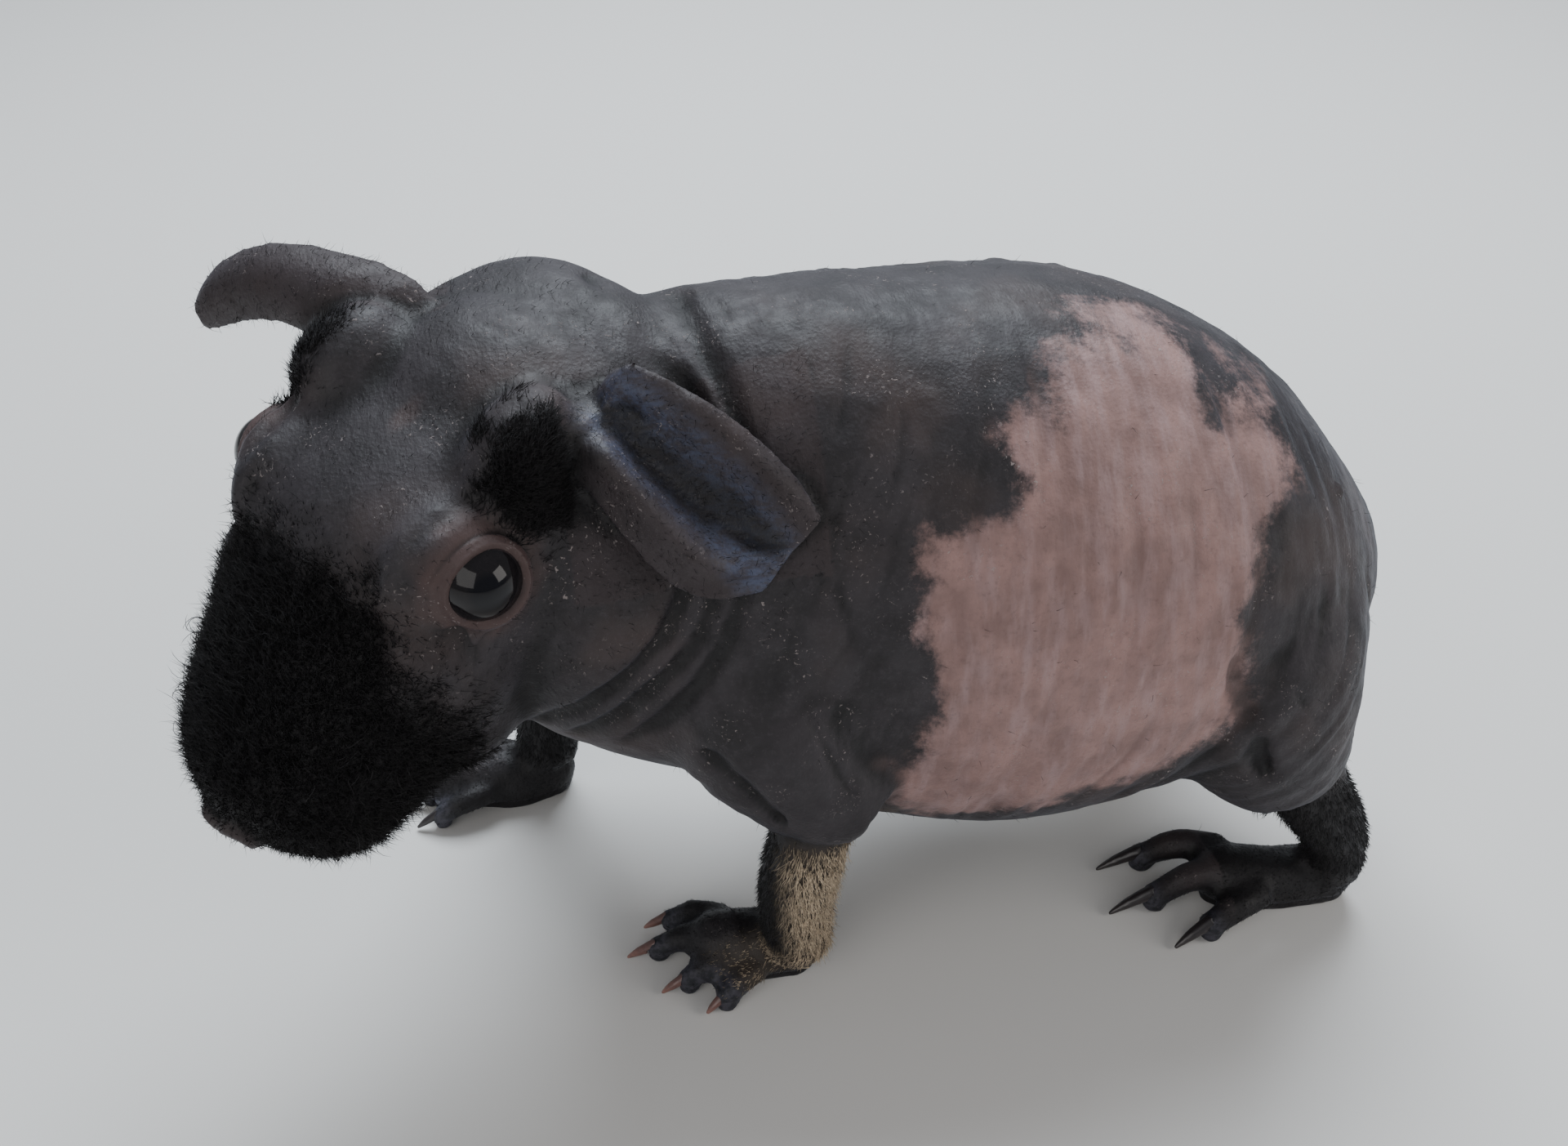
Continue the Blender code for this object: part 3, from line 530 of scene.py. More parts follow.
def pressed(mesh, line, width, depth):
    """Presses a groove along a line of points in metres, of a half width and a depth in mm."""
    places = places_of(mesh)
    near, along = away_from_line(places, line)
    share = np.clip(1 - (near / (width * MM)) ** 2, 0, 1) ** 2
    share *= smoothstep(0.0, 0.12, along) * smoothstep(1.0, 0.88, along)
    set_places(mesh, places - normals_of(mesh) * (share * depth * MM)[:, None])
    return mesh


def pushed(mesh, line, width, depth, way, share):
    """Moves both faces of a thin sheet together along one way, in a band round a line."""
    places = places_of(mesh)
    near, along = away_from_line(places, line)
    band = np.exp(-((near / (width * MM)) ** 2)) * share
    band *= smoothstep(0.0, 0.15, along) * smoothstep(1.0, 0.72, along)
    set_places(mesh, places + np.array(way) * (band * depth * MM)[:, None])
    return mesh


# Lines on the ears where the sheet is pushed in or out, as the body was measured: places, width, depth.
LEFT_EAR_WAY = Vector((-0.15, -0.78, 0.60))
LEFT_EAR_FOLDS = (
    (((-40, -16, 89.5), (-34.5, -20, 86), (-29, -23, 80.5), (-25, -25.5, 74)), 1.35, -2.3),
    (((-42, -17.5, 86.5), (-38, -22, 82), (-33.5, -25, 76), (-30, -26.5, 71.5)), 1.9, 1.9),
    (((-33, -16, 90), (-28, -19, 86), (-24, -21.5, 81.5), (-20.5, -24, 77.5)), 1.9, 1.0),
)
RIGHT_EAR_WAY = Vector((0.1, -0.7, 0.7))
RIGHT_EAR_FOLDS = (
    (((-62, 8, 92), (-67, 11, 92), (-72, 14, 92), (-77, 17, 90)), 1.3, -0.6),
    (((-60, 5, 89), (-66, 8, 89.5), (-72, 12, 89)), 1.3, 0.5),
)


def body_line(points):
    return smooth_between([on_body(*p) for p in points], 10)


def head_line(points):
    return smooth_between([on_head(*p) for p in points], 10)


def eye_axes(side):
    """Middle of an eye, the way it looks, forward along the lids, and up across them."""
    middle = box_middle("eye_left" if side > 0 else "eye_right")
    look = (FORWARD * EYE_LOOK.x + LEFT * EYE_LOOK.y * side + UP * EYE_LOOK.z).normalized()
    ahead = FORWARD - UP * 0.35
    ahead = (ahead - look * ahead.dot(look)).normalized()
    above = look.cross(ahead) * side
    return middle, look, ahead, above


def eye_radius():
    low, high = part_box("eye_left")
    return (high[0] - low[0]) / 2


def shaped_lids(mesh, side):
    """Two lids with a rounded margin, a furrow above, and a pointed corner at the front."""
    middle, look, ahead, above = (np.array(v) for v in eye_axes(side))
    radius = eye_radius()
    places = places_of(mesh)
    off = places - middle
    distance = np.linalg.norm(off, axis=1)
    way = off / np.maximum(distance, 1e-9)[:, None]
    angle = np.degrees(np.arccos(np.clip(way @ look, -1, 1)))
    x, y = way @ ahead, way @ above
    turn = np.arctan2(y, x)
    opening = 52.0 + 5.0 * np.cos(2 * turn + 0.5) + 9.0 * np.exp(-((turn / 0.26) ** 2))
    opening += 2.0 * np.exp(-(((np.abs(turn) - math.pi) / 0.4) ** 2))
    q = angle / opening
    upper = smoothstep(-0.35, 0.5, y / np.maximum(np.hypot(x, y), 1e-6))
    lip = radius + (0.5 + 0.3 * upper) * MM
    target = np.full(len(places), radius - 0.5 * MM)
    target = target + (lip - target) * smoothstep(0.93, 1.07, q)
    furrow = (0.50 * upper + 0.22) * np.exp(-(((q - 1.36 - 0.1 * upper) / 0.06) ** 2)) * MM
    furrow += 0.22 * upper * np.exp(-(((q - 1.62) / 0.05) ** 2)) * MM
    natural = smoothstep(1.08, 1.7, q)
    made = target * (1 - natural) + distance * natural - furrow * smoothstep(2.2, 1.6, q)
    near = (q < 2.3) & (distance < radius + 6 * MM) & (angle < 125)
    places[near] = middle + way[near] * made[near][:, None]
    set_places(mesh, places)
    return mesh


def coat_shrunk(mesh, boxes):
    """Brings the skin in under the fur, by the depth of the coat."""
    places, normals = places_of(mesh), normals_of(mesh)
    on_leg = smoothstep(7.0 * MM, 11.0 * MM, places[:, 2])
    off_sole = places[:, 2] > 1.2 * MM
    leg_depth = (FOOT_COAT + LEG_COAT * on_leg) * lower_leg_share(places, boxes) * off_sole
    depth = MUZZLE_COAT * muzzle_share(places) + leg_depth
    set_places(mesh, places - normals * (depth * MM)[:, None])
    return mesh


def wrinkled(mesh):
    """Soft ribs on the flanks, fine upright lines on shoulders and rump, and a dry unevenness all over."""
    places, normals = places_of(mesh), normals_of(mesh)
    x, y, z = body_coordinates(places).T
    bare = (1 - muzzle_share(places)) * (1 - ear_share(places))
    on_trunk = smoothstep(-34.0, -22.0, x) * smoothstep(24.0, 32.0, z) * (1 - ear_share(places))
    flank = smoothstep(-10.0, 6.0, x) * smoothstep(52.0, 40.0, x)
    flank *= on_trunk * smoothstep(6.0, 16.0, np.abs(y))
    bend = -0.26 * (z - 50) + 0.0045 * x * (z - 56) ** 2 / 10
    slant = x + bend + 1.3 * noise(np.stack([x / 12, y / 18, z / 18], 1), 41)
    ribs = noise(np.stack([slant / 2.9, y / 40, z / 34], 1), 42)
    narrow = noise(np.stack([slant / 1.3, y / 14, z / 14], 1), 46)
    lines = 1 - np.abs(noise(np.stack([slant / 0.9, y / 7, z / 7], 1), 43)) * 2
    shoulder = on_trunk * smoothstep(4.0, -10.0, x)
    rump = on_trunk * smoothstep(30.0, 42.0, x)
    rise = (0.52 * ribs + 0.20 * narrow) * flank
    rise -= 0.09 * lines * (0.5 * flank + shoulder + 0.7 * rump)
    rise += 0.20 * noise(np.stack([slant / 2.0, y / 12, z / 12], 1), 45) * shoulder
    rise += bare * (0.12 * noise(places / (6.0 * MM), 44) + 0.05 * noise(places / (2.2 * MM), 47))
    dot = np.linalg.norm(places - np.array(on_body(*RUMP_DOT)), axis=1)
    rise += 0.5 * smoothstep(1.3 * MM, 0.4 * MM, dot)
    set_places(mesh, places + normals * (rise * MM)[:, None])
    return mesh


def leg_boxes():
    """The boxes of the furred lower legs and feet."""
    found = []
    for node in LEG_NODES + FOOT_NODES:
        if "upper" in node:
            continue
        low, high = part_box(node)
        found.append((tuple(low), tuple(high), node.startswith("front")))
    return found


def sculpted(mesh):
    """Folds, lids, nostrils and the mouth."""
    for points, width, depth in BODY_FOLDS:
        mesh = pressed(mesh, body_line(points), width, depth)
    for side in (1, -1):
        mesh = shaped_lids(mesh, side)
        crease = [(6.5, 14.0, 4.0), (3.5, 13.5, 8.0), (-1.5, 13.2, 9.6), (-6.5, 14.2, 8.0), (-9.5, 16.2, 3.0)]
        mesh = pressed(mesh, head_line([(f, l * side, u) for f, l, u in crease]), 0.9, 0.3)
        nostril = [(37.6, 2.2, -5.2), (36.9, 3.8, -4.4), (35.4, 5.0, -4.6), (34.2, 5.6, -5.8)]
        mesh = pressed(mesh, head_line([(f, l * side, u) for f, l, u in nostril]), 1.2, 1.1)
    mesh = pressed(mesh, head_line([(38.2, 0, -7), (37.8, 0, -11), (36, 0, -15), (33, 0, -18)]), 0.7, 0.6)
    mesh = pressed(mesh, head_line([(-15, 0.2, 7.5), (-12, 0.3, 8.5), (-8.5, 0.6, 8.8)]), 0.6, 0.25)
    on_ear = ear_share(places_of(mesh))
    for lines, way in ((LEFT_EAR_FOLDS, LEFT_EAR_WAY), (RIGHT_EAR_FOLDS, RIGHT_EAR_WAY)):
        for points, width, depth in lines:
            mesh = pushed(mesh, body_line(points), width, depth, way, on_ear)
    return mesh


def add_marks(mesh, boxes):
    """Writes the skin's markings on its points, with the marks for the painted crease shade and the painted
    ear sheen.
    """
    places = places_of(mesh)
    furred = muzzle_share(places) + 0.9 * ear_patch_share(places) + lower_leg_share(places, boxes)
    marks = {
        "pink": pink_share(places),
        "rose": rose_share(places),
        "fur": np.clip(furred, 0, 1),
        "cream": cream_share(places),
        "hollow_shade": hollow_shade_share(mesh),
        "ear": ear_share(places),
        "nose": nose_share(places),
        "toe": toe_share(places),
        "sheen_and_smooth": sheen_and_smooth_share(places),
    }
    for name, values in marks.items():
        set_mark(mesh, name, values)
    return mesh


def hollow_shade_share(mesh):
    """How far each point lies below the even surface round it, from 0 to 1: where shade is painted into the
    creases.
    """
    places = places_of(mesh)
    edges = neighbours(mesh)
    even = places
    for _ in range(14):
        even = neighbour_middles(even, edges)
    below = np.einsum("ij,ij->i", even - places, normals_of(mesh)) / MM
    return np.clip(below / 0.22, 0, 1)


# Materials.


class Nodes:
    """Short words for building a shader."""

    def __init__(self, name):
        self.material = bpy.data.materials.new(name)
        self.material.use_nodes = True
        self.tree = self.material.node_tree
        self.shader = self.tree.nodes["Principled BSDF"]
        self.where = self.tree.nodes.new("ShaderNodeTexCoord").outputs["Object"]

    def make(self, kind, **settings):
        node = self.tree.nodes.new(kind)
        for key, value in settings.items():
            setattr(node, key, value)
        return node

    def link(self, one, two):
        self.tree.links.new(one, two)

    def put(self, socket, value):
        if isinstance(value, bpy.types.NodeSocket):
            self.link(value, socket)
        else:
            socket.default_value = value

    def mark(self, name):
        return self.make("ShaderNodeAttribute", attribute_name=name).outputs["Fac"]

    def noise(self, size_mm, detail=2.0, roughness=0.5, stretch=None, distortion=0.0):
        """Noise with cells of about a size in mm."""
        node = self.make("ShaderNodeTexNoise")
        node.inputs["Scale"].default_value = 1.0 / (size_mm * MM)
        node.inputs["Detail"].default_value = detail
        node.inputs["Roughness"].default_value = roughness
        node.inputs["Distortion"].default_value = distortion
        self.put(node.inputs["Vector"], self.stretched(stretch) if stretch else self.where)
        return node.outputs["Fac"]

    def cells(self, size_mm):
        """Distance from the middles of scattered cells of about a size in mm."""
        node = self.make("ShaderNodeTexVoronoi")
        node.inputs["Scale"].default_value = 1.0 / (size_mm * MM)
        self.link(self.where, node.inputs["Vector"])
        return node.outputs["Distance"]

    def stretched(self, stretch):
        node = self.make("ShaderNodeMapping")
        node.inputs["Scale"].default_value = stretch
        self.link(self.where, node.inputs["Vector"])
        return node.outputs["Vector"]

    def math(self, operation, one, two):
        node = self.make("ShaderNodeMath", operation=operation)
        self.put(node.inputs[0], one)
        self.put(node.inputs[1], two)
        return node.outputs[0]

    def times(self, one, two):
        return self.math("MULTIPLY", one, two)

    def span(self, value, low, high, to_low=0.0, to_high=1.0):
        node = self.make("ShaderNodeMapRange", clamp=True, interpolation_type="SMOOTHSTEP")
        self.put(node.inputs["Value"], value)
        for name, number in (("From Min", low), ("From Max", high), ("To Min", to_low), ("To Max", to_high)):
            node.inputs[name].default_value = number
        return node.outputs["Result"]

    def mix(self, share, one, two):
        node = self.make("ShaderNodeMix", data_type="RGBA")
        self.put(node.inputs[0], share)
        self.put(node.inputs[6], one if isinstance(one, bpy.types.NodeSocket) else (*one, 1.0))
        self.put(node.inputs[7], two if isinstance(two, bpy.types.NodeSocket) else (*two, 1.0))
        return node.outputs[2]

    def bump(self, height, distance_mm, strength=1.0, under=None):
        node = self.make("ShaderNodeBump")
        node.inputs["Distance"].default_value = distance_mm * MM
        node.inputs["Strength"].default_value = strength
        self.put(node.inputs["Height"], height)
        if under is not None:
            self.link(under, node.inputs["Normal"])
        return node.outputs["Normal"]

    def set(self, **values):
        for key, value in values.items():
            self.put(self.shader.inputs[key.replace("_", " ")], value)
        return self.material


def tinted(colour, factor):
    return tuple(min(1.0, c * factor) for c in colour)


def skin_material():
    """Dry dark skin with a painted blue sheen on the near ear, painted shade in its creases, a pink flank
    patch, rose lids and pale flakes.
    """
    n = Nodes("bare_skin")
    dark, pink = tuple(looks().skin_dark), tuple(looks().skin_pink)
    base = n.mix(n.span(n.noise(8.0, 4.0, 0.6), 0.3, 0.7), tinted(dark, 0.65), tinted(dark, 1.35))
    base = n.mix(n.span(n.noise(17.0, 3.0, 0.5), 0.48, 0.72, 0.0, 0.55), base, (0.062, 0.042, 0.038))
    base = n.mix(n.span(n.noise(0.6, 3.0, 0.7), 0.48, 0.78, 0.0, 0.4), base, tinted(dark, 2.3))
    base = n.mix(n.times(n.mark("ear"), 0.3), base, (0.055, 0.036, 0.036))
    # Painted sheen: a pale blue highlight mixed into the colour along the near ear's valley, broken by fine
    # creases.
    sheen_creases = n.span(n.noise(0.8, 4.0, 0.7, (0.4, 1.0, 1.0)), 0.35, 0.65, 0.15, 0.7)
    base = n.mix(n.times(n.mark("sheen_and_smooth"), sheen_creases), base, (0.070, 0.088, 0.150))
    base = n.mix(n.times(n.mark("rose"), 0.65), base, (0.088, 0.052, 0.047))
    grain = n.times(n.math("SUBTRACT", n.noise(1.0, 5.0, 0.75), 0.5), 1.1)
    edge = n.math("ADD", n.mark("pink"), grain)
    tone = n.mix(n.span(n.noise(6.0, 4.0, 0.6), 0.3, 0.7), tinted(pink, 0.72), tinted(pink, 1.12))
    bands = n.noise(1.7, 3.0, 0.6, (1.0, 0.18, 0.22))
    tone = n.mix(n.span(bands, 0.42, 0.72, 0.0, 0.45), tone, (0.36, 0.255, 0.26))
    tone = n.mix(n.span(n.noise(0.7, 3.0, 0.7), 0.5, 0.8, 0.0, 0.5), tone, tinted(pink, 0.5))
    base = n.mix(n.span(edge, 0.16, 0.84), base, tone)
    # Painted shade: creases and folds are darkened in the colour by how deep they lie below the surface round
    # them.
    low = n.times(n.mark("hollow_shade"), 0.8)
    base = n.mix(low, base, n.mix(n.mark("pink"), tinted(dark, 0.15), tinted(pink, 0.6)))
    base = n.mix(n.times(n.mark("fur"), 0.92), base, (0.009, 0.008, 0.009))
    base = n.mix(n.times(n.mark("cream"), 0.6), base, (0.07, 0.052, 0.038))
    toe = n.mix(n.span(n.noise(0.9, 3.0, 0.6), 0.35, 0.65), (0.016, 0.017, 0.022), (0.050, 0.048, 0.062))
    base = n.mix(n.mark("toe"), base, toe)
    base = n.mix(n.times(n.mark("nose"), 0.8), base, (0.040, 0.029, 0.029))
    bare = n.math("SUBTRACT", 1.0, n.mark("fur"))
    here = n.span(n.noise(6.0, 2.0, 0.5), 0.46, 0.66)
    fleck = n.span(n.noise(0.42, 2.5, 0.55, distortion=0.8), 0.635, 0.69)
    scale = n.span(n.noise(1.1, 3.0, 0.7, distortion=1.5), 0.66, 0.70)
    loose = n.math("MAXIMUM", fleck, n.times(scale, 0.6))
    loose = n.times(loose, n.times(here, bare))
    base = n.mix(n.times(loose, 0.65), base, (0.36, 0.31, 0.30))
    normal = n.bump(n.cells(0.5), 0.06, 0.6)
    normal = n.bump(n.noise(0.3, 3.0, 0.6), 0.07, 0.6, normal)
    normal = n.bump(n.noise(1.1, 5.0, 0.7, (1.0, 0.3, 0.3)), 0.24, 0.55, normal)
    normal = n.bump(loose, 0.08, 0.7, normal)
    rough = n.span(n.noise(2.5, 3.0, 0.6), 0.3, 0.7, 0.50, 0.66)
    rough = n.math("SUBTRACT", rough, n.times(n.mark("sheen_and_smooth"), 0.12))
    rough = n.math("ADD", rough, n.times(loose, 0.3))
    n.set(Sheen_Weight=0.06, Sheen_Roughness=0.35, Sheen_Tint=(0.65, 0.76, 1.0, 1.0))
    return n.set(Base_Color=base, Roughness=rough, Normal=normal, Specular_IOR_Level=0.34)


# How strongly hair glints.
HAIR_GLINT = 0.22


def hair_material(name, colour, other, rough_middle):
    """Hair with its own tone from strand to strand."""
    n = Nodes(name)
    strand = n.noise(0.6, 2.0, 0.6)
    base = n.mix(n.span(strand, 0.3, 0.7), colour, other)
    normal = n.bump(n.noise(0.12, 1.0, 0.5), 0.02, 0.3)
    rough = n.span(strand, 0.3, 0.7, rough_middle - 0.06, rough_middle + 0.06)
    return n.set(Base_Color=base, Roughness=rough, Normal=normal, Specular_IOR_Level=HAIR_GLINT)


def leg_hair_material():
    """Black leg hair that turns cream where the foreleg is pale."""
    n = Nodes("leg_hair")
    black, cream = tuple(looks().fur_black), tuple(looks().fur_cream)
    strand = n.noise(0.5, 2.0, 0.6)
    pale = n.mix(n.span(strand, 0.35, 0.7), tinted(cream, 0.62), tinted(cream, 1.25))
    dark = n.mix(n.span(strand, 0.35, 0.7), black, tinted(black, 2.2))
    streak = n.span(n.noise(0.9, 3.0, 0.7, (1.0, 1.0, 0.3)), 0.34, 0.46)
    base = n.mix(n.times(n.mark("cream"), streak), dark, pale)
    rough = n.span(strand, 0.3, 0.7, 0.42, 0.55)
    return n.set(Base_Color=base, Roughness=rough, Specular_IOR_Level=HAIR_GLINT)


def eye_material():
    """A wet dark eye with a faint brown iris round a black pupil."""
    n = Nodes("wet_eye")
    ring = n.mark("iris")
    fibres = n.noise(0.5, 3.0, 0.7)
    iris = n.mix(fibres, (0.004, 0.004, 0.005), (0.014, 0.011, 0.012))
    base = n.mix(ring, (0.003, 0.003, 0.005), iris)
    base = n.mix(n.mark("white"), base, (0.05, 0.035, 0.035))
    return n.set(Base_Color=base, Roughness=n.span(fibres, 0.2, 0.8, 0.05, 0.09), IOR=1.38)


def claw_material(name, root, tip):
    """Horn, darker at the root, with lengthwise streaks."""
    n = Nodes(name)
    streak = n.noise(0.5, 3.0, 0.6, (0.3, 1.0, 1.0))
    base = n.mix(n.mark("along"), root, tip)
    base = n.mix(n.span(streak, 0.4, 0.75, 0.0, 0.5), base, tinted(root, 0.5))
    normal = n.bump(streak, 0.05, 0.4)
    rough = n.span(streak, 0.3, 0.7, 0.28, 0.42)
    return n.set(Base_Color=base, Roughness=rough, Normal=normal, Coat_Weight=0.2, Coat_Roughness=0.2)


# Coat.


class Skin:
    """The finished skin as arrays, for roots, normals and places on its unwrap."""

    def __init__(self, obj):
        mesh = obj.data
        mesh.calc_loop_triangles()
        count = len(mesh.loop_triangles)
        self.corners = np.empty(count * 3, np.int64)
        mesh.loop_triangles.foreach_get("vertices", self.corners)
        self.corners = self.corners.reshape(-1, 3)
        self.places = places_of(mesh)
        self.normals = normals_of(mesh)
        loops = np.empty(count * 3, np.int64)
        mesh.loop_triangles.foreach_get("loops", loops)
        unwrap = np.empty(len(mesh.loops) * 2)
        mesh.uv_layers["unwrap"].data.foreach_get("uv", unwrap)
        self.unwrap = unwrap.reshape(-1, 2)[loops.reshape(-1, 3)]
        a, b, c = (self.places[self.corners[:, i]] for i in range(3))
        self.areas = np.linalg.norm(np.cross(b - a, c - a), axis=1) / 2
        self.middles = (a + b + c) / 3

    def roots(self, share, count, random):
        """Places, normals and unwrap places of roots spread by a share for each triangle."""
        weight = self.areas * share
        picked = random.choice(len(weight), count, p=weight / weight.sum())
        s, t = np.sqrt(random.random(count)), random.random(count)
        parts = np.stack([1 - s, s * (1 - t), s * t], axis=1)
        corners = self.corners[picked]
        places = np.einsum("ij,ijk->ik", parts, self.places[corners])
        normals = unit_rows(np.einsum("ij,ijk->ik", parts, self.normals[corners]))
        return places, normals, np.einsum("ij,ijk->ik", parts, self.unwrap[picked])


def tangent(ways, normals):
    """Directions laid flat on the skin."""
    return unit_rows(ways - normals * np.einsum("ij,ij->i", ways, normals)[:, None])


# How far below the skin each hair starts.
ROOT_DEPTH = 0.25 * MM


def hair_mesh(name, roots, normals, ways, lengths, widths, curl, unwrap, random, segments=3, twist=2.6):
    """Thin three-sided tapered hairs, each closed, bending along their way, as one mesh."""
    count = len(roots)
    side = unit_rows(np.cross(ways, normals))
    phase = random.random(count) * 2 * math.pi
    rings = []
    for level in range(segments + 1):
        t = level / segments
        centre = roots - normals * ROOT_DEPTH * (1 - t)
        centre = centre + ways * (lengths * t)[:, None]
        bend = curl * lengths * t * t
        centre = centre + side * (bend * np.sin(phase + twist * t))[:, None]
        centre = centre + normals * (bend * 0.6 * np.cos(phase * 1.7 + twist * 0.85 * t))[:, None]
        rings.append(centre)
    sides = HAIR_SIDES
    per = segments * sides + 1
    places = np.empty((count, per, 3))
    for level in range(segments):
        t = level / segments
        radius = widths / 2 * (1 - HAIR_TAPER * t)
        ahead = unit_rows(rings[level + 1] - rings[level])
        u = unit_rows(np.cross(ahead, side))
        w = np.cross(ahead, u)
        for k in range(sides):
            angle = 2 * math.pi * k / sides
            step = (u * math.cos(angle) + w * math.sin(angle)) * radius[:, None]
            places[:, level * sides + k] = rings[level] + step
    places[:, -1] = rings[-1]
    faces = [(0, 2, 1)]
    for level in range(segments - 1):
        for k in range(sides):
            a, b = level * sides + k, level * sides + (k + 1) % sides
            faces += [(a, b, b + sides), (a, b + sides, a + sides)]
    for k in range(sides):
        a, b = (segments - 1) * sides + k, (segments - 1) * sides + (k + 1) % sides
        faces.append((a, b, per - 1))
    faces = np.array(faces)
    every = (faces[None] + (np.arange(count) * per)[:, None, None]).reshape(-1, 3)
    mesh = bpy.data.meshes.new(name)
    mesh.vertices.add(count * per)
    mesh.vertices.foreach_set("co", places.ravel())
    mesh.loops.add(len(every) * 3)
    mesh.loops.foreach_set("vertex_index", every.ravel())
    mesh.polygons.add(len(every))
    mesh.polygons.foreach_set("loop_start", np.arange(len(every)) * 3)
    mesh.update(calc_edges=True)
    mesh.validate()
    mesh.polygons.foreach_set("use_smooth", np.ones(len(every), bool))
    local = np.empty((per, 2))
    for index in range(per):
        level, k = divmod(index, sides)
        local[index] = (k / sides * BAKED_SPAN, level / segments * BAKED_SPAN)
    spots = (unwrap[:, None] * (1 - BAKED_SPAN) + local[None]).reshape(-1, 2)
    layer = mesh.uv_layers.new(name="OFBake")
    layer.data.foreach_set("uv", spots[every.ravel()].ravel())
    return mesh


# The most triangles that one coat piece holds.
MOST_TRIANGLES = 195000


def coat_pieces(name, material, roots, normals, ways, lengths, widths, curl, unwrap,
                segments=3, twist=2.6):
    """Hairs as one or more joined meshes, each under the limit for a coat piece."""
    random = np.random.default_rng(SEED + len(name))
    triangles = 2 * HAIR_SIDES * (segments - 1) + HAIR_SIDES + 1
    most = MOST_TRIANGLES // triangles
    for number, start in enumerate(range(0, len(roots), most)):
        part = slice(start, start + most)
        title = f"{name}_{number + 1}" if len(roots) > most else name
        mesh = hair_mesh(title, roots[part], normals[part], ways[part], lengths[part], widths[part], curl,
                         unwrap[part], random, segments, twist)
        set_mark(mesh, "cream", np.repeat(cream_share(roots[part]), segments * HAIR_SIDES + 1))
        mesh.materials.append(material)
        obj = new_object(title, mesh)
        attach(obj, "root")


def skin_arrays():
    return Skin(bpy.data.objects["skin"])


def hair_count(name):
    count = HAIRS[name]
    return max(10, int(count * looks().density))


class ANIMAL_OT_skin(bpy.types.Operator):
    """Fuse the flesh into one skin and raise its folds, lids and wrinkles"""

    bl_idname = "animal.skin"
    bl_label = "Skin"

    def execute(self, context):
        boxes = leg_boxes()
        mesh = fused_skin()
        places = places_of(mesh)
        near_eye = np.zeros(len(places), bool)
        for side in (1, -1):
            middle = np.array(eye_axes(side)[0])
            near_eye |= np.linalg.norm(places - middle, axis=1) < FINE_ROUND_EYE
        mesh = finer_where(mesh, near_eye)
        mesh = coat_shrunk(mesh, boxes)
        mesh = sculpted(mesh)
        mesh = wrinkled(mesh)
        mesh = add_marks(mesh, boxes)
        mesh.name = "skin"
        mesh.materials.clear()
        mesh.materials.append(skin_material())
        mesh.shade_smooth()
        obj = new_object("skin", mesh)
        unwrap_skin(obj)
        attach(obj, "root")
        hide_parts(*FLESH_NODES)
        return {"FINISHED"}


def unwrap_skin(obj):
    """Lays the skin's own shape out flat, to give each hair its place there."""
    obj.data.uv_layers.new(name="unwrap")
    for other in bpy.context.selected_objects:
        other.select_set(False)
    obj.select_set(True)
    bpy.context.view_layer.objects.active = obj
    bpy.ops.object.mode_set(mode="EDIT")
    bpy.ops.mesh.select_all(action="SELECT")
    bpy.ops.uv.smart_project(angle_limit=math.radians(66), island_margin=0.002)
    bpy.ops.object.mode_set(mode="OBJECT")
    obj.select_set(False)


class ANIMAL_OT_eyes(bpy.types.Operator):
    """Make both wet eyes"""

    bl_idname = "animal.eyes"
    bl_label = "Eyes"

    def execute(self, context):
        material = eye_material()
        for side, name in ((1, "left"), (-1, "right")):
            middle, look, ahead, _ = eye_axes(side)
            radius = eye_radius()
            bm = bmesh.new()
            bmesh.ops.create_uvsphere(bm, u_segments=56, v_segments=36, radius=radius)
            turned = Matrix((ahead, look.cross(ahead), look)).transposed().to_4x4()
            for v in bm.verts:
                bulge = max(0.0, v.co.z / radius - WINDOW_START)
                v.co *= 1 + WINDOW_RISE * bulge
            heights = [v.co.z / v.co.length for v in bm.verts]
            bmesh.ops.transform(bm, matrix=Matrix.Translation(middle) @ turned, verts=bm.verts)
            mesh = mesh_from(bm, "eye_ball_" + name)
            height = np.array(heights)
            set_mark(mesh, "iris", smoothstep(0.92, 0.89, height) * smoothstep(0.52, 0.6, height))
            set_mark(mesh, "white", smoothstep(0.55, 0.5, height))
            mesh.materials.append(material)
            mesh.shade_smooth()
            obj = new_object("eye_ball_" + name, mesh)
            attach(obj, "root")
            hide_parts("eye_" + name)
        return {"FINISHED"}


# How far each claw runs on into its toe.
CLAW_ROOT = 1.6 * MM


class ANIMAL_OT_claws(bpy.types.Operator):
    """Round off every claw and give it its horn"""

    bl_idname = "animal.claws"
    bl_label = "Claws"

    def execute(self, context):
        dark = claw_material("dark_horn", (0.020, 0.016, 0.018), (0.035, 0.028, 0.028))
        pale = claw_material("pale_horn", (0.090, 0.045, 0.040), (0.30, 0.15, 0.12))
        for node in CLAW_NODES:
            mesh = mesh_from(clean_copy(node, 0.0), "horn_" + node)
            mesh = with_modifier(mesh, "SUBSURF", levels=2, render_levels=2)
            places = places_of(mesh)
            tip = places[np.argmin(places[:, 0])]
            way = places.mean(axis=0) - tip
            way /= np.linalg.norm(way)
            back = (places - tip) @ way
            along = 1 - back / back.max()
            places += way * (CLAW_ROOT * smoothstep(0.5, 1.0, 1 - along))[:, None]
            set_places(mesh, places)
            set_mark(mesh, "along", along)
            mesh.materials.clear()
            mesh.materials.append(pale if node.startswith("front_claw_left") else dark)
            mesh.shade_smooth()
            obj = new_object("horn_" + node, mesh)
            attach(obj, "root")
            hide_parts(node)
        return {"FINISHED"}


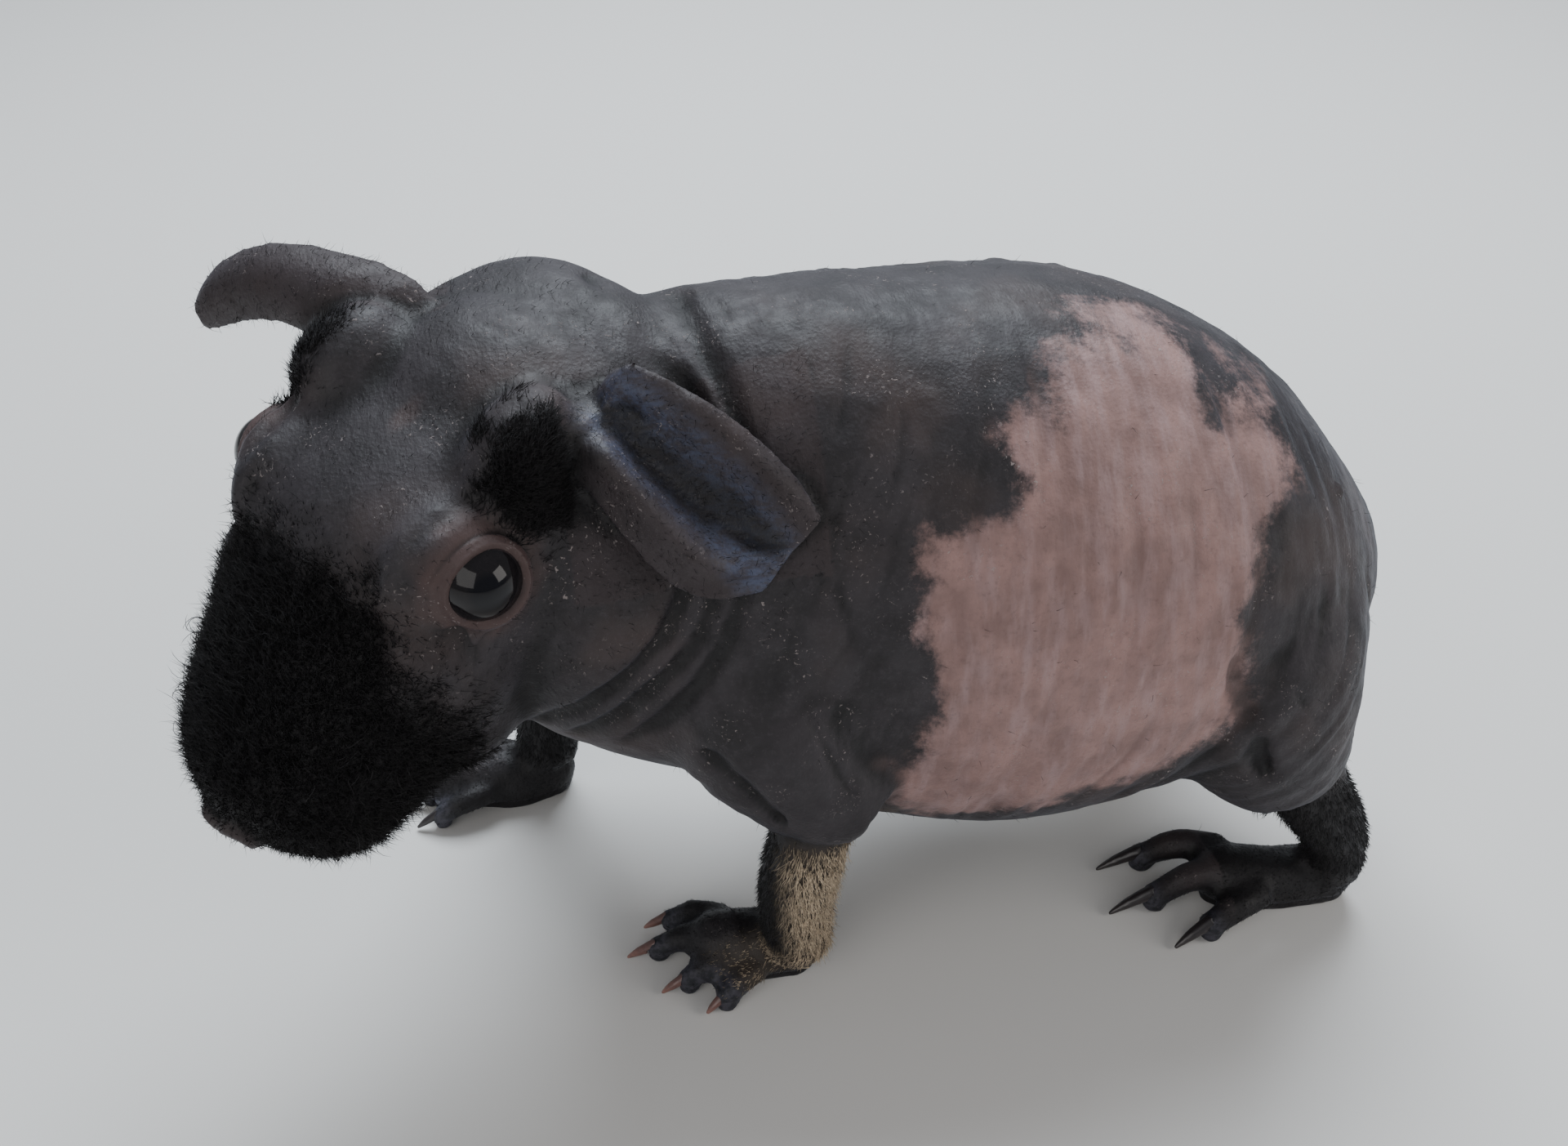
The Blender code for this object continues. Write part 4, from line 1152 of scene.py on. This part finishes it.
class ANIMAL_OT_muzzle_fur(bpy.types.Operator):
    """Grow the black fur of the muzzle"""

    bl_idname = "animal.muzzle_fur"
    bl_label = "Muzzle fur"

    def execute(self, context):
        skin = skin_arrays()
        random = np.random.default_rng(SEED)
        share = muzzle_share(skin.middles)
        roots, normals, unwrap = skin.roots(share, hair_count("muzzle_fur"), random)
        f, l, _ = head_coordinates(roots).T
        back = np.tile(-np.array(FORWARD), (len(roots), 1))
        out = np.outer(np.sign(l), np.array(LEFT)) * 0.35 - np.array(UP) * 0.15
        lie = tangent(back + out + 0.85 * random.normal(size=roots.shape), normals)
        stand = 0.25 + 0.45 * random.random(len(roots))
        ways = unit_rows(lie + normals * stand[:, None])
        near_nose = smoothstep(30.0, 36.0, f)
        thick = 0.55 + 0.45 * muzzle_share(roots)
        lengths = looks().muzzle_fur * (0.5 + 0.6 * random.random(len(roots))) * (1 - 0.5 * near_nose) * thick
        stray = random.random(len(roots)) < 0.04
        lengths = np.where(stray, lengths * 1.45, lengths)
        widths = np.full(len(roots), THICK["muzzle_fur"] * MM) * (0.75 + 0.5 * random.random(len(roots)))
        black = tuple(looks().fur_black)
        material = hair_material("black_fur", black, tinted(black, 2.4), 0.5)
        coat_pieces("muzzle_fur", material, roots, normals, ways, lengths, widths, 0.55, unwrap)
        return {"FINISHED"}


class ANIMAL_OT_leg_fur(bpy.types.Operator):
    """Grow the short fur of the lower legs and feet, pale on the near foreleg"""

    bl_idname = "animal.leg_fur"
    bl_label = "Leg fur"

    def execute(self, context):
        skin = skin_arrays()
        random = np.random.default_rng(SEED + 1)
        share = lower_leg_share(skin.middles, leg_boxes()) * (skin.middles[:, 2] > 1.4 * MM)
        share *= 1 - 0.85 * toe_share(skin.middles)
        roots, normals, unwrap = skin.roots(share, hair_count("leg_fur"), random)
        height = roots[:, 2] / MM
        on_foot = smoothstep(11.0, 7.0, height)
        down = np.tile(np.array((0.0, 0.0, -1.0)), (len(roots), 1))
        ahead = np.tile(np.array((-1.0, 0.0, -0.1)), (len(roots), 1))
        lie = down * (1 - on_foot)[:, None] + ahead * on_foot[:, None]
        lie = tangent(lie + 0.25 * random.normal(size=roots.shape), normals)
        stand = 0.10 + 0.12 * random.random(len(roots)) + 0.22 * (1 - on_foot)
        ways = unit_rows(lie + normals * stand[:, None])
        lengths = looks().leg_fur * (0.6 + 0.5 * random.random(len(roots))) * (1 - 0.58 * on_foot)
        lengths *= 1 + 0.7 * cream_share(roots)
        lengths = np.minimum(lengths, np.maximum(roots[:, 2] - 0.1 * MM, 0.5 * MM))
        widths = np.full(len(roots), THICK["leg_fur"] * MM) * (0.75 + 0.5 * random.random(len(roots)))
        material = leg_hair_material()
        coat_pieces("leg_fur", material, roots, normals, ways, lengths, widths, 0.2, unwrap)
        return {"FINISHED"}


class ANIMAL_OT_fuzz(bpy.types.Operator):
    """Grow the dark patch by each ear, and sparse fuzz on the head, the ears and the body"""

    bl_idname = "animal.fuzz"
    bl_label = "Fuzz"

    def execute(self, context):
        skin = skin_arrays()
        random = np.random.default_rng(SEED + 2)
        black = tuple(looks().fur_black)
        material = hair_material("dark_fuzz", black, tinted(black, 3.0), 0.55)
        share = ear_patch_share(skin.middles) * (1 - ear_share(skin.middles))
        roots, normals, unwrap = skin.roots(share, hair_count("ear_root_fur"), random)
        back = np.tile(-np.array(FORWARD), (len(roots), 1))
        lie = tangent(back + 0.4 * random.normal(size=roots.shape), normals)
        ways = unit_rows(lie + normals * 0.35)
        lengths = 1.9 * MM * (0.6 + 0.6 * random.random(len(roots)))
        widths = np.full(len(roots), THICK["ear_root_fur"] * MM)
        coat_pieces("ear_root_fur", material, roots, normals, ways, lengths, widths, 0.4, unwrap)
        head = head_coordinates(skin.middles)
        low_head = smoothstep(-38.0, -30.0, head[:, 0]) * smoothstep(-24, -14, head[:, 2])
        share = 0.25 * low_head * (1 - muzzle_share(skin.middles)) + 0.5 * ear_share(skin.middles)
        off_floor = skin.middles[:, 2] > 5.0 * MM
        roots, normals, unwrap = skin.roots((share + 0.012) * off_floor, hair_count("sparse_fuzz"), random)
        wild = 0.7 * random.normal(size=roots.shape)
        lie = tangent(np.tile(np.array((0.8, 0.0, -0.2)), (len(roots), 1)) + wild, normals)
        ways = unit_rows(lie + normals * 0.6)
        lengths = 1.1 * MM * (0.5 + 0.9 * random.random(len(roots)))
        widths = np.full(len(roots), THICK["sparse_fuzz"] * MM)
        coat_pieces("sparse_fuzz", material, roots, normals, ways, lengths, widths, 0.4, unwrap)
        return {"FINISHED"}


class ANIMAL_OT_whiskers(bpy.types.Operator):
    """Set the short curly whiskers on both sides of the muzzle"""

    bl_idname = "animal.whiskers"
    bl_label = "Whiskers"

    def execute(self, context):
        skin = skin_arrays()
        random = np.random.default_rng(SEED + 3)
        f, l, u = head_coordinates(skin.middles).T
        pad = smoothstep(16, 22, f) * smoothstep(33, 29, f) * smoothstep(5, 8, np.abs(l))
        pad *= smoothstep(-16, -12, u)
        roots, normals, unwrap = skin.roots(pad, HAIRS["whiskers"], random)
        l = head_coordinates(roots)[:, 1]
        out = np.outer(np.sign(l), np.array(LEFT)) * 0.9 + np.array(FORWARD) * 0.15
        ways = unit_rows(out + normals * 0.5 + 0.35 * random.normal(size=roots.shape))
        lengths = MM * (2.0 + 1.2 * random.random(len(roots)))
        widths = np.full(len(roots), THICK["whiskers"] * MM)
        black = tuple(looks().fur_black)
        material = hair_material("whisker", tinted(black, 1.5), tinted(black, 4.0), 0.4)
        coat_pieces("whiskers", material, roots, normals, ways, lengths, widths, 0.55, unwrap,
                    segments=9, twist=6.0)
        return {"FINISHED"}


class ANIMAL_OT_stage(bpy.types.Operator):
    """Set the floor, the lights and the camera"""

    bl_idname = "animal.stage"
    bl_label = "Stage"

    def execute(self, context):
        bm = bmesh.new()
        bmesh.ops.create_grid(bm, x_segments=1, y_segments=1, size=3.0)
        floor = new_object("floor", mesh_from(bm, "floor"))
        n = Nodes("pale_floor")
        n.set(Base_Color=(0.72, 0.71, 0.69, 1.0), Roughness=0.85)
        floor.data.materials.append(n.material)
        set_lights()
        set_camera()
        return {"FINISHED"}


def area_light(name, place, aim, size, power, colour):
    light = bpy.data.lights.new(name, "AREA")
    light.shape = "RECTANGLE"
    light.size, light.size_y = size
    light.energy = power
    light.color = colour
    obj = bpy.data.objects.new(name, light)
    obj.location = Vector(place)
    obj.rotation_euler = (Vector(aim) - Vector(place)).to_track_quat("-Z", "Y").to_euler()
    bpy.context.scene.collection.objects.link(obj)


def set_lights():
    """A large window-like key from above and behind, a soft fill from the camera's side."""
    aim = (0.0, 0.0, 0.05)
    area_light("window", (0.10, 0.35, 0.62), aim, (0.50, 0.40), 7.5, (0.86, 0.93, 1.0))
    area_light("fill", (-0.45, -0.55, 0.45), aim, (0.6, 0.6), 2.0, (1.0, 0.97, 0.94))
    area_light("side", (0.6, -0.35, 0.35), aim, (0.4, 0.4), 1.8, (1.0, 0.96, 0.92))
    world = bpy.data.worlds.new("pale_room")
    world.use_nodes = True
    world.node_tree.nodes["Background"].inputs["Color"].default_value = (0.85, 0.89, 0.95, 1.0)
    world.node_tree.nodes["Background"].inputs["Strength"].default_value = 0.30
    bpy.context.scene.world = world


# The photo's camera: turn and height of its gaze in degrees, and its focal length in pixels.
CAMERA_AZIMUTH = -12.0
CAMERA_ELEVATION = 37.0
CAMERA_FOCAL = 1850.0
IMAGE_WIDTH = 1920.0
CAMERA_PLACE = (-49.59, -149.03, 166.92)


def set_camera():
    data = bpy.data.cameras.new("camera")
    data.sensor_width = 36.0
    data.lens = CAMERA_FOCAL / IMAGE_WIDTH * data.sensor_width
    data.clip_start = 0.005
    obj = bpy.data.objects.new("camera", data)
    azimuth, elevation = math.radians(CAMERA_AZIMUTH), math.radians(CAMERA_ELEVATION)
    level = math.cos(elevation)
    back = Vector((math.sin(azimuth) * level, -math.cos(azimuth) * level, math.sin(elevation)))
    obj.location = on_body(*CAMERA_PLACE)
    obj.rotation_euler = (-back).to_track_quat("-Z", "Y").to_euler()
    bpy.context.scene.collection.objects.link(obj)
    bpy.context.scene.camera = obj


class ANIMAL_PT_panel(bpy.types.Panel):
    """Lists the pieces in the order they are made"""

    bl_idname = "ANIMAL_PT_panel"
    bl_label = "Guinea Pig"
    bl_space_type = "VIEW_3D"
    bl_region_type = "UI"
    bl_category = "Guinea Pig"

    def draw(self, context):
        layout = self.layout
        for name in ANIMAL_PG_looks.__annotations__:
            layout.prop(context.scene.animal_looks, name)
        for operator in OPERATORS:
            layout.operator(operator.bl_idname)


OPERATORS = (
    ANIMAL_OT_stage,
    ANIMAL_OT_skin,
    ANIMAL_OT_eyes,
    ANIMAL_OT_claws,
    ANIMAL_OT_muzzle_fur,
    ANIMAL_OT_leg_fur,
    ANIMAL_OT_fuzz,
    ANIMAL_OT_whiskers,
)
CLASSES = (ANIMAL_PG_looks,) + OPERATORS + (ANIMAL_PT_panel,)


def register():
    for one in CLASSES:
        bpy.utils.register_class(one)
    bpy.types.Scene.animal_looks = bpy.props.PointerProperty(type=ANIMAL_PG_looks)


def unregister():
    del bpy.types.Scene.animal_looks
    for one in reversed(CLASSES):
        bpy.utils.unregister_class(one)


def main():
    register()
    bpy.ops.animal.stage()
    bpy.ops.animal.skin()
    bpy.ops.animal.eyes()
    bpy.ops.animal.claws()
    bpy.ops.animal.muzzle_fur()
    bpy.ops.animal.leg_fur()
    bpy.ops.animal.fuzz()
    bpy.ops.animal.whiskers()
    skin = bpy.data.objects["skin"].data
    skin.uv_layers.remove(skin.uv_layers["unwrap"])


if __name__ == "__main__":
    main()
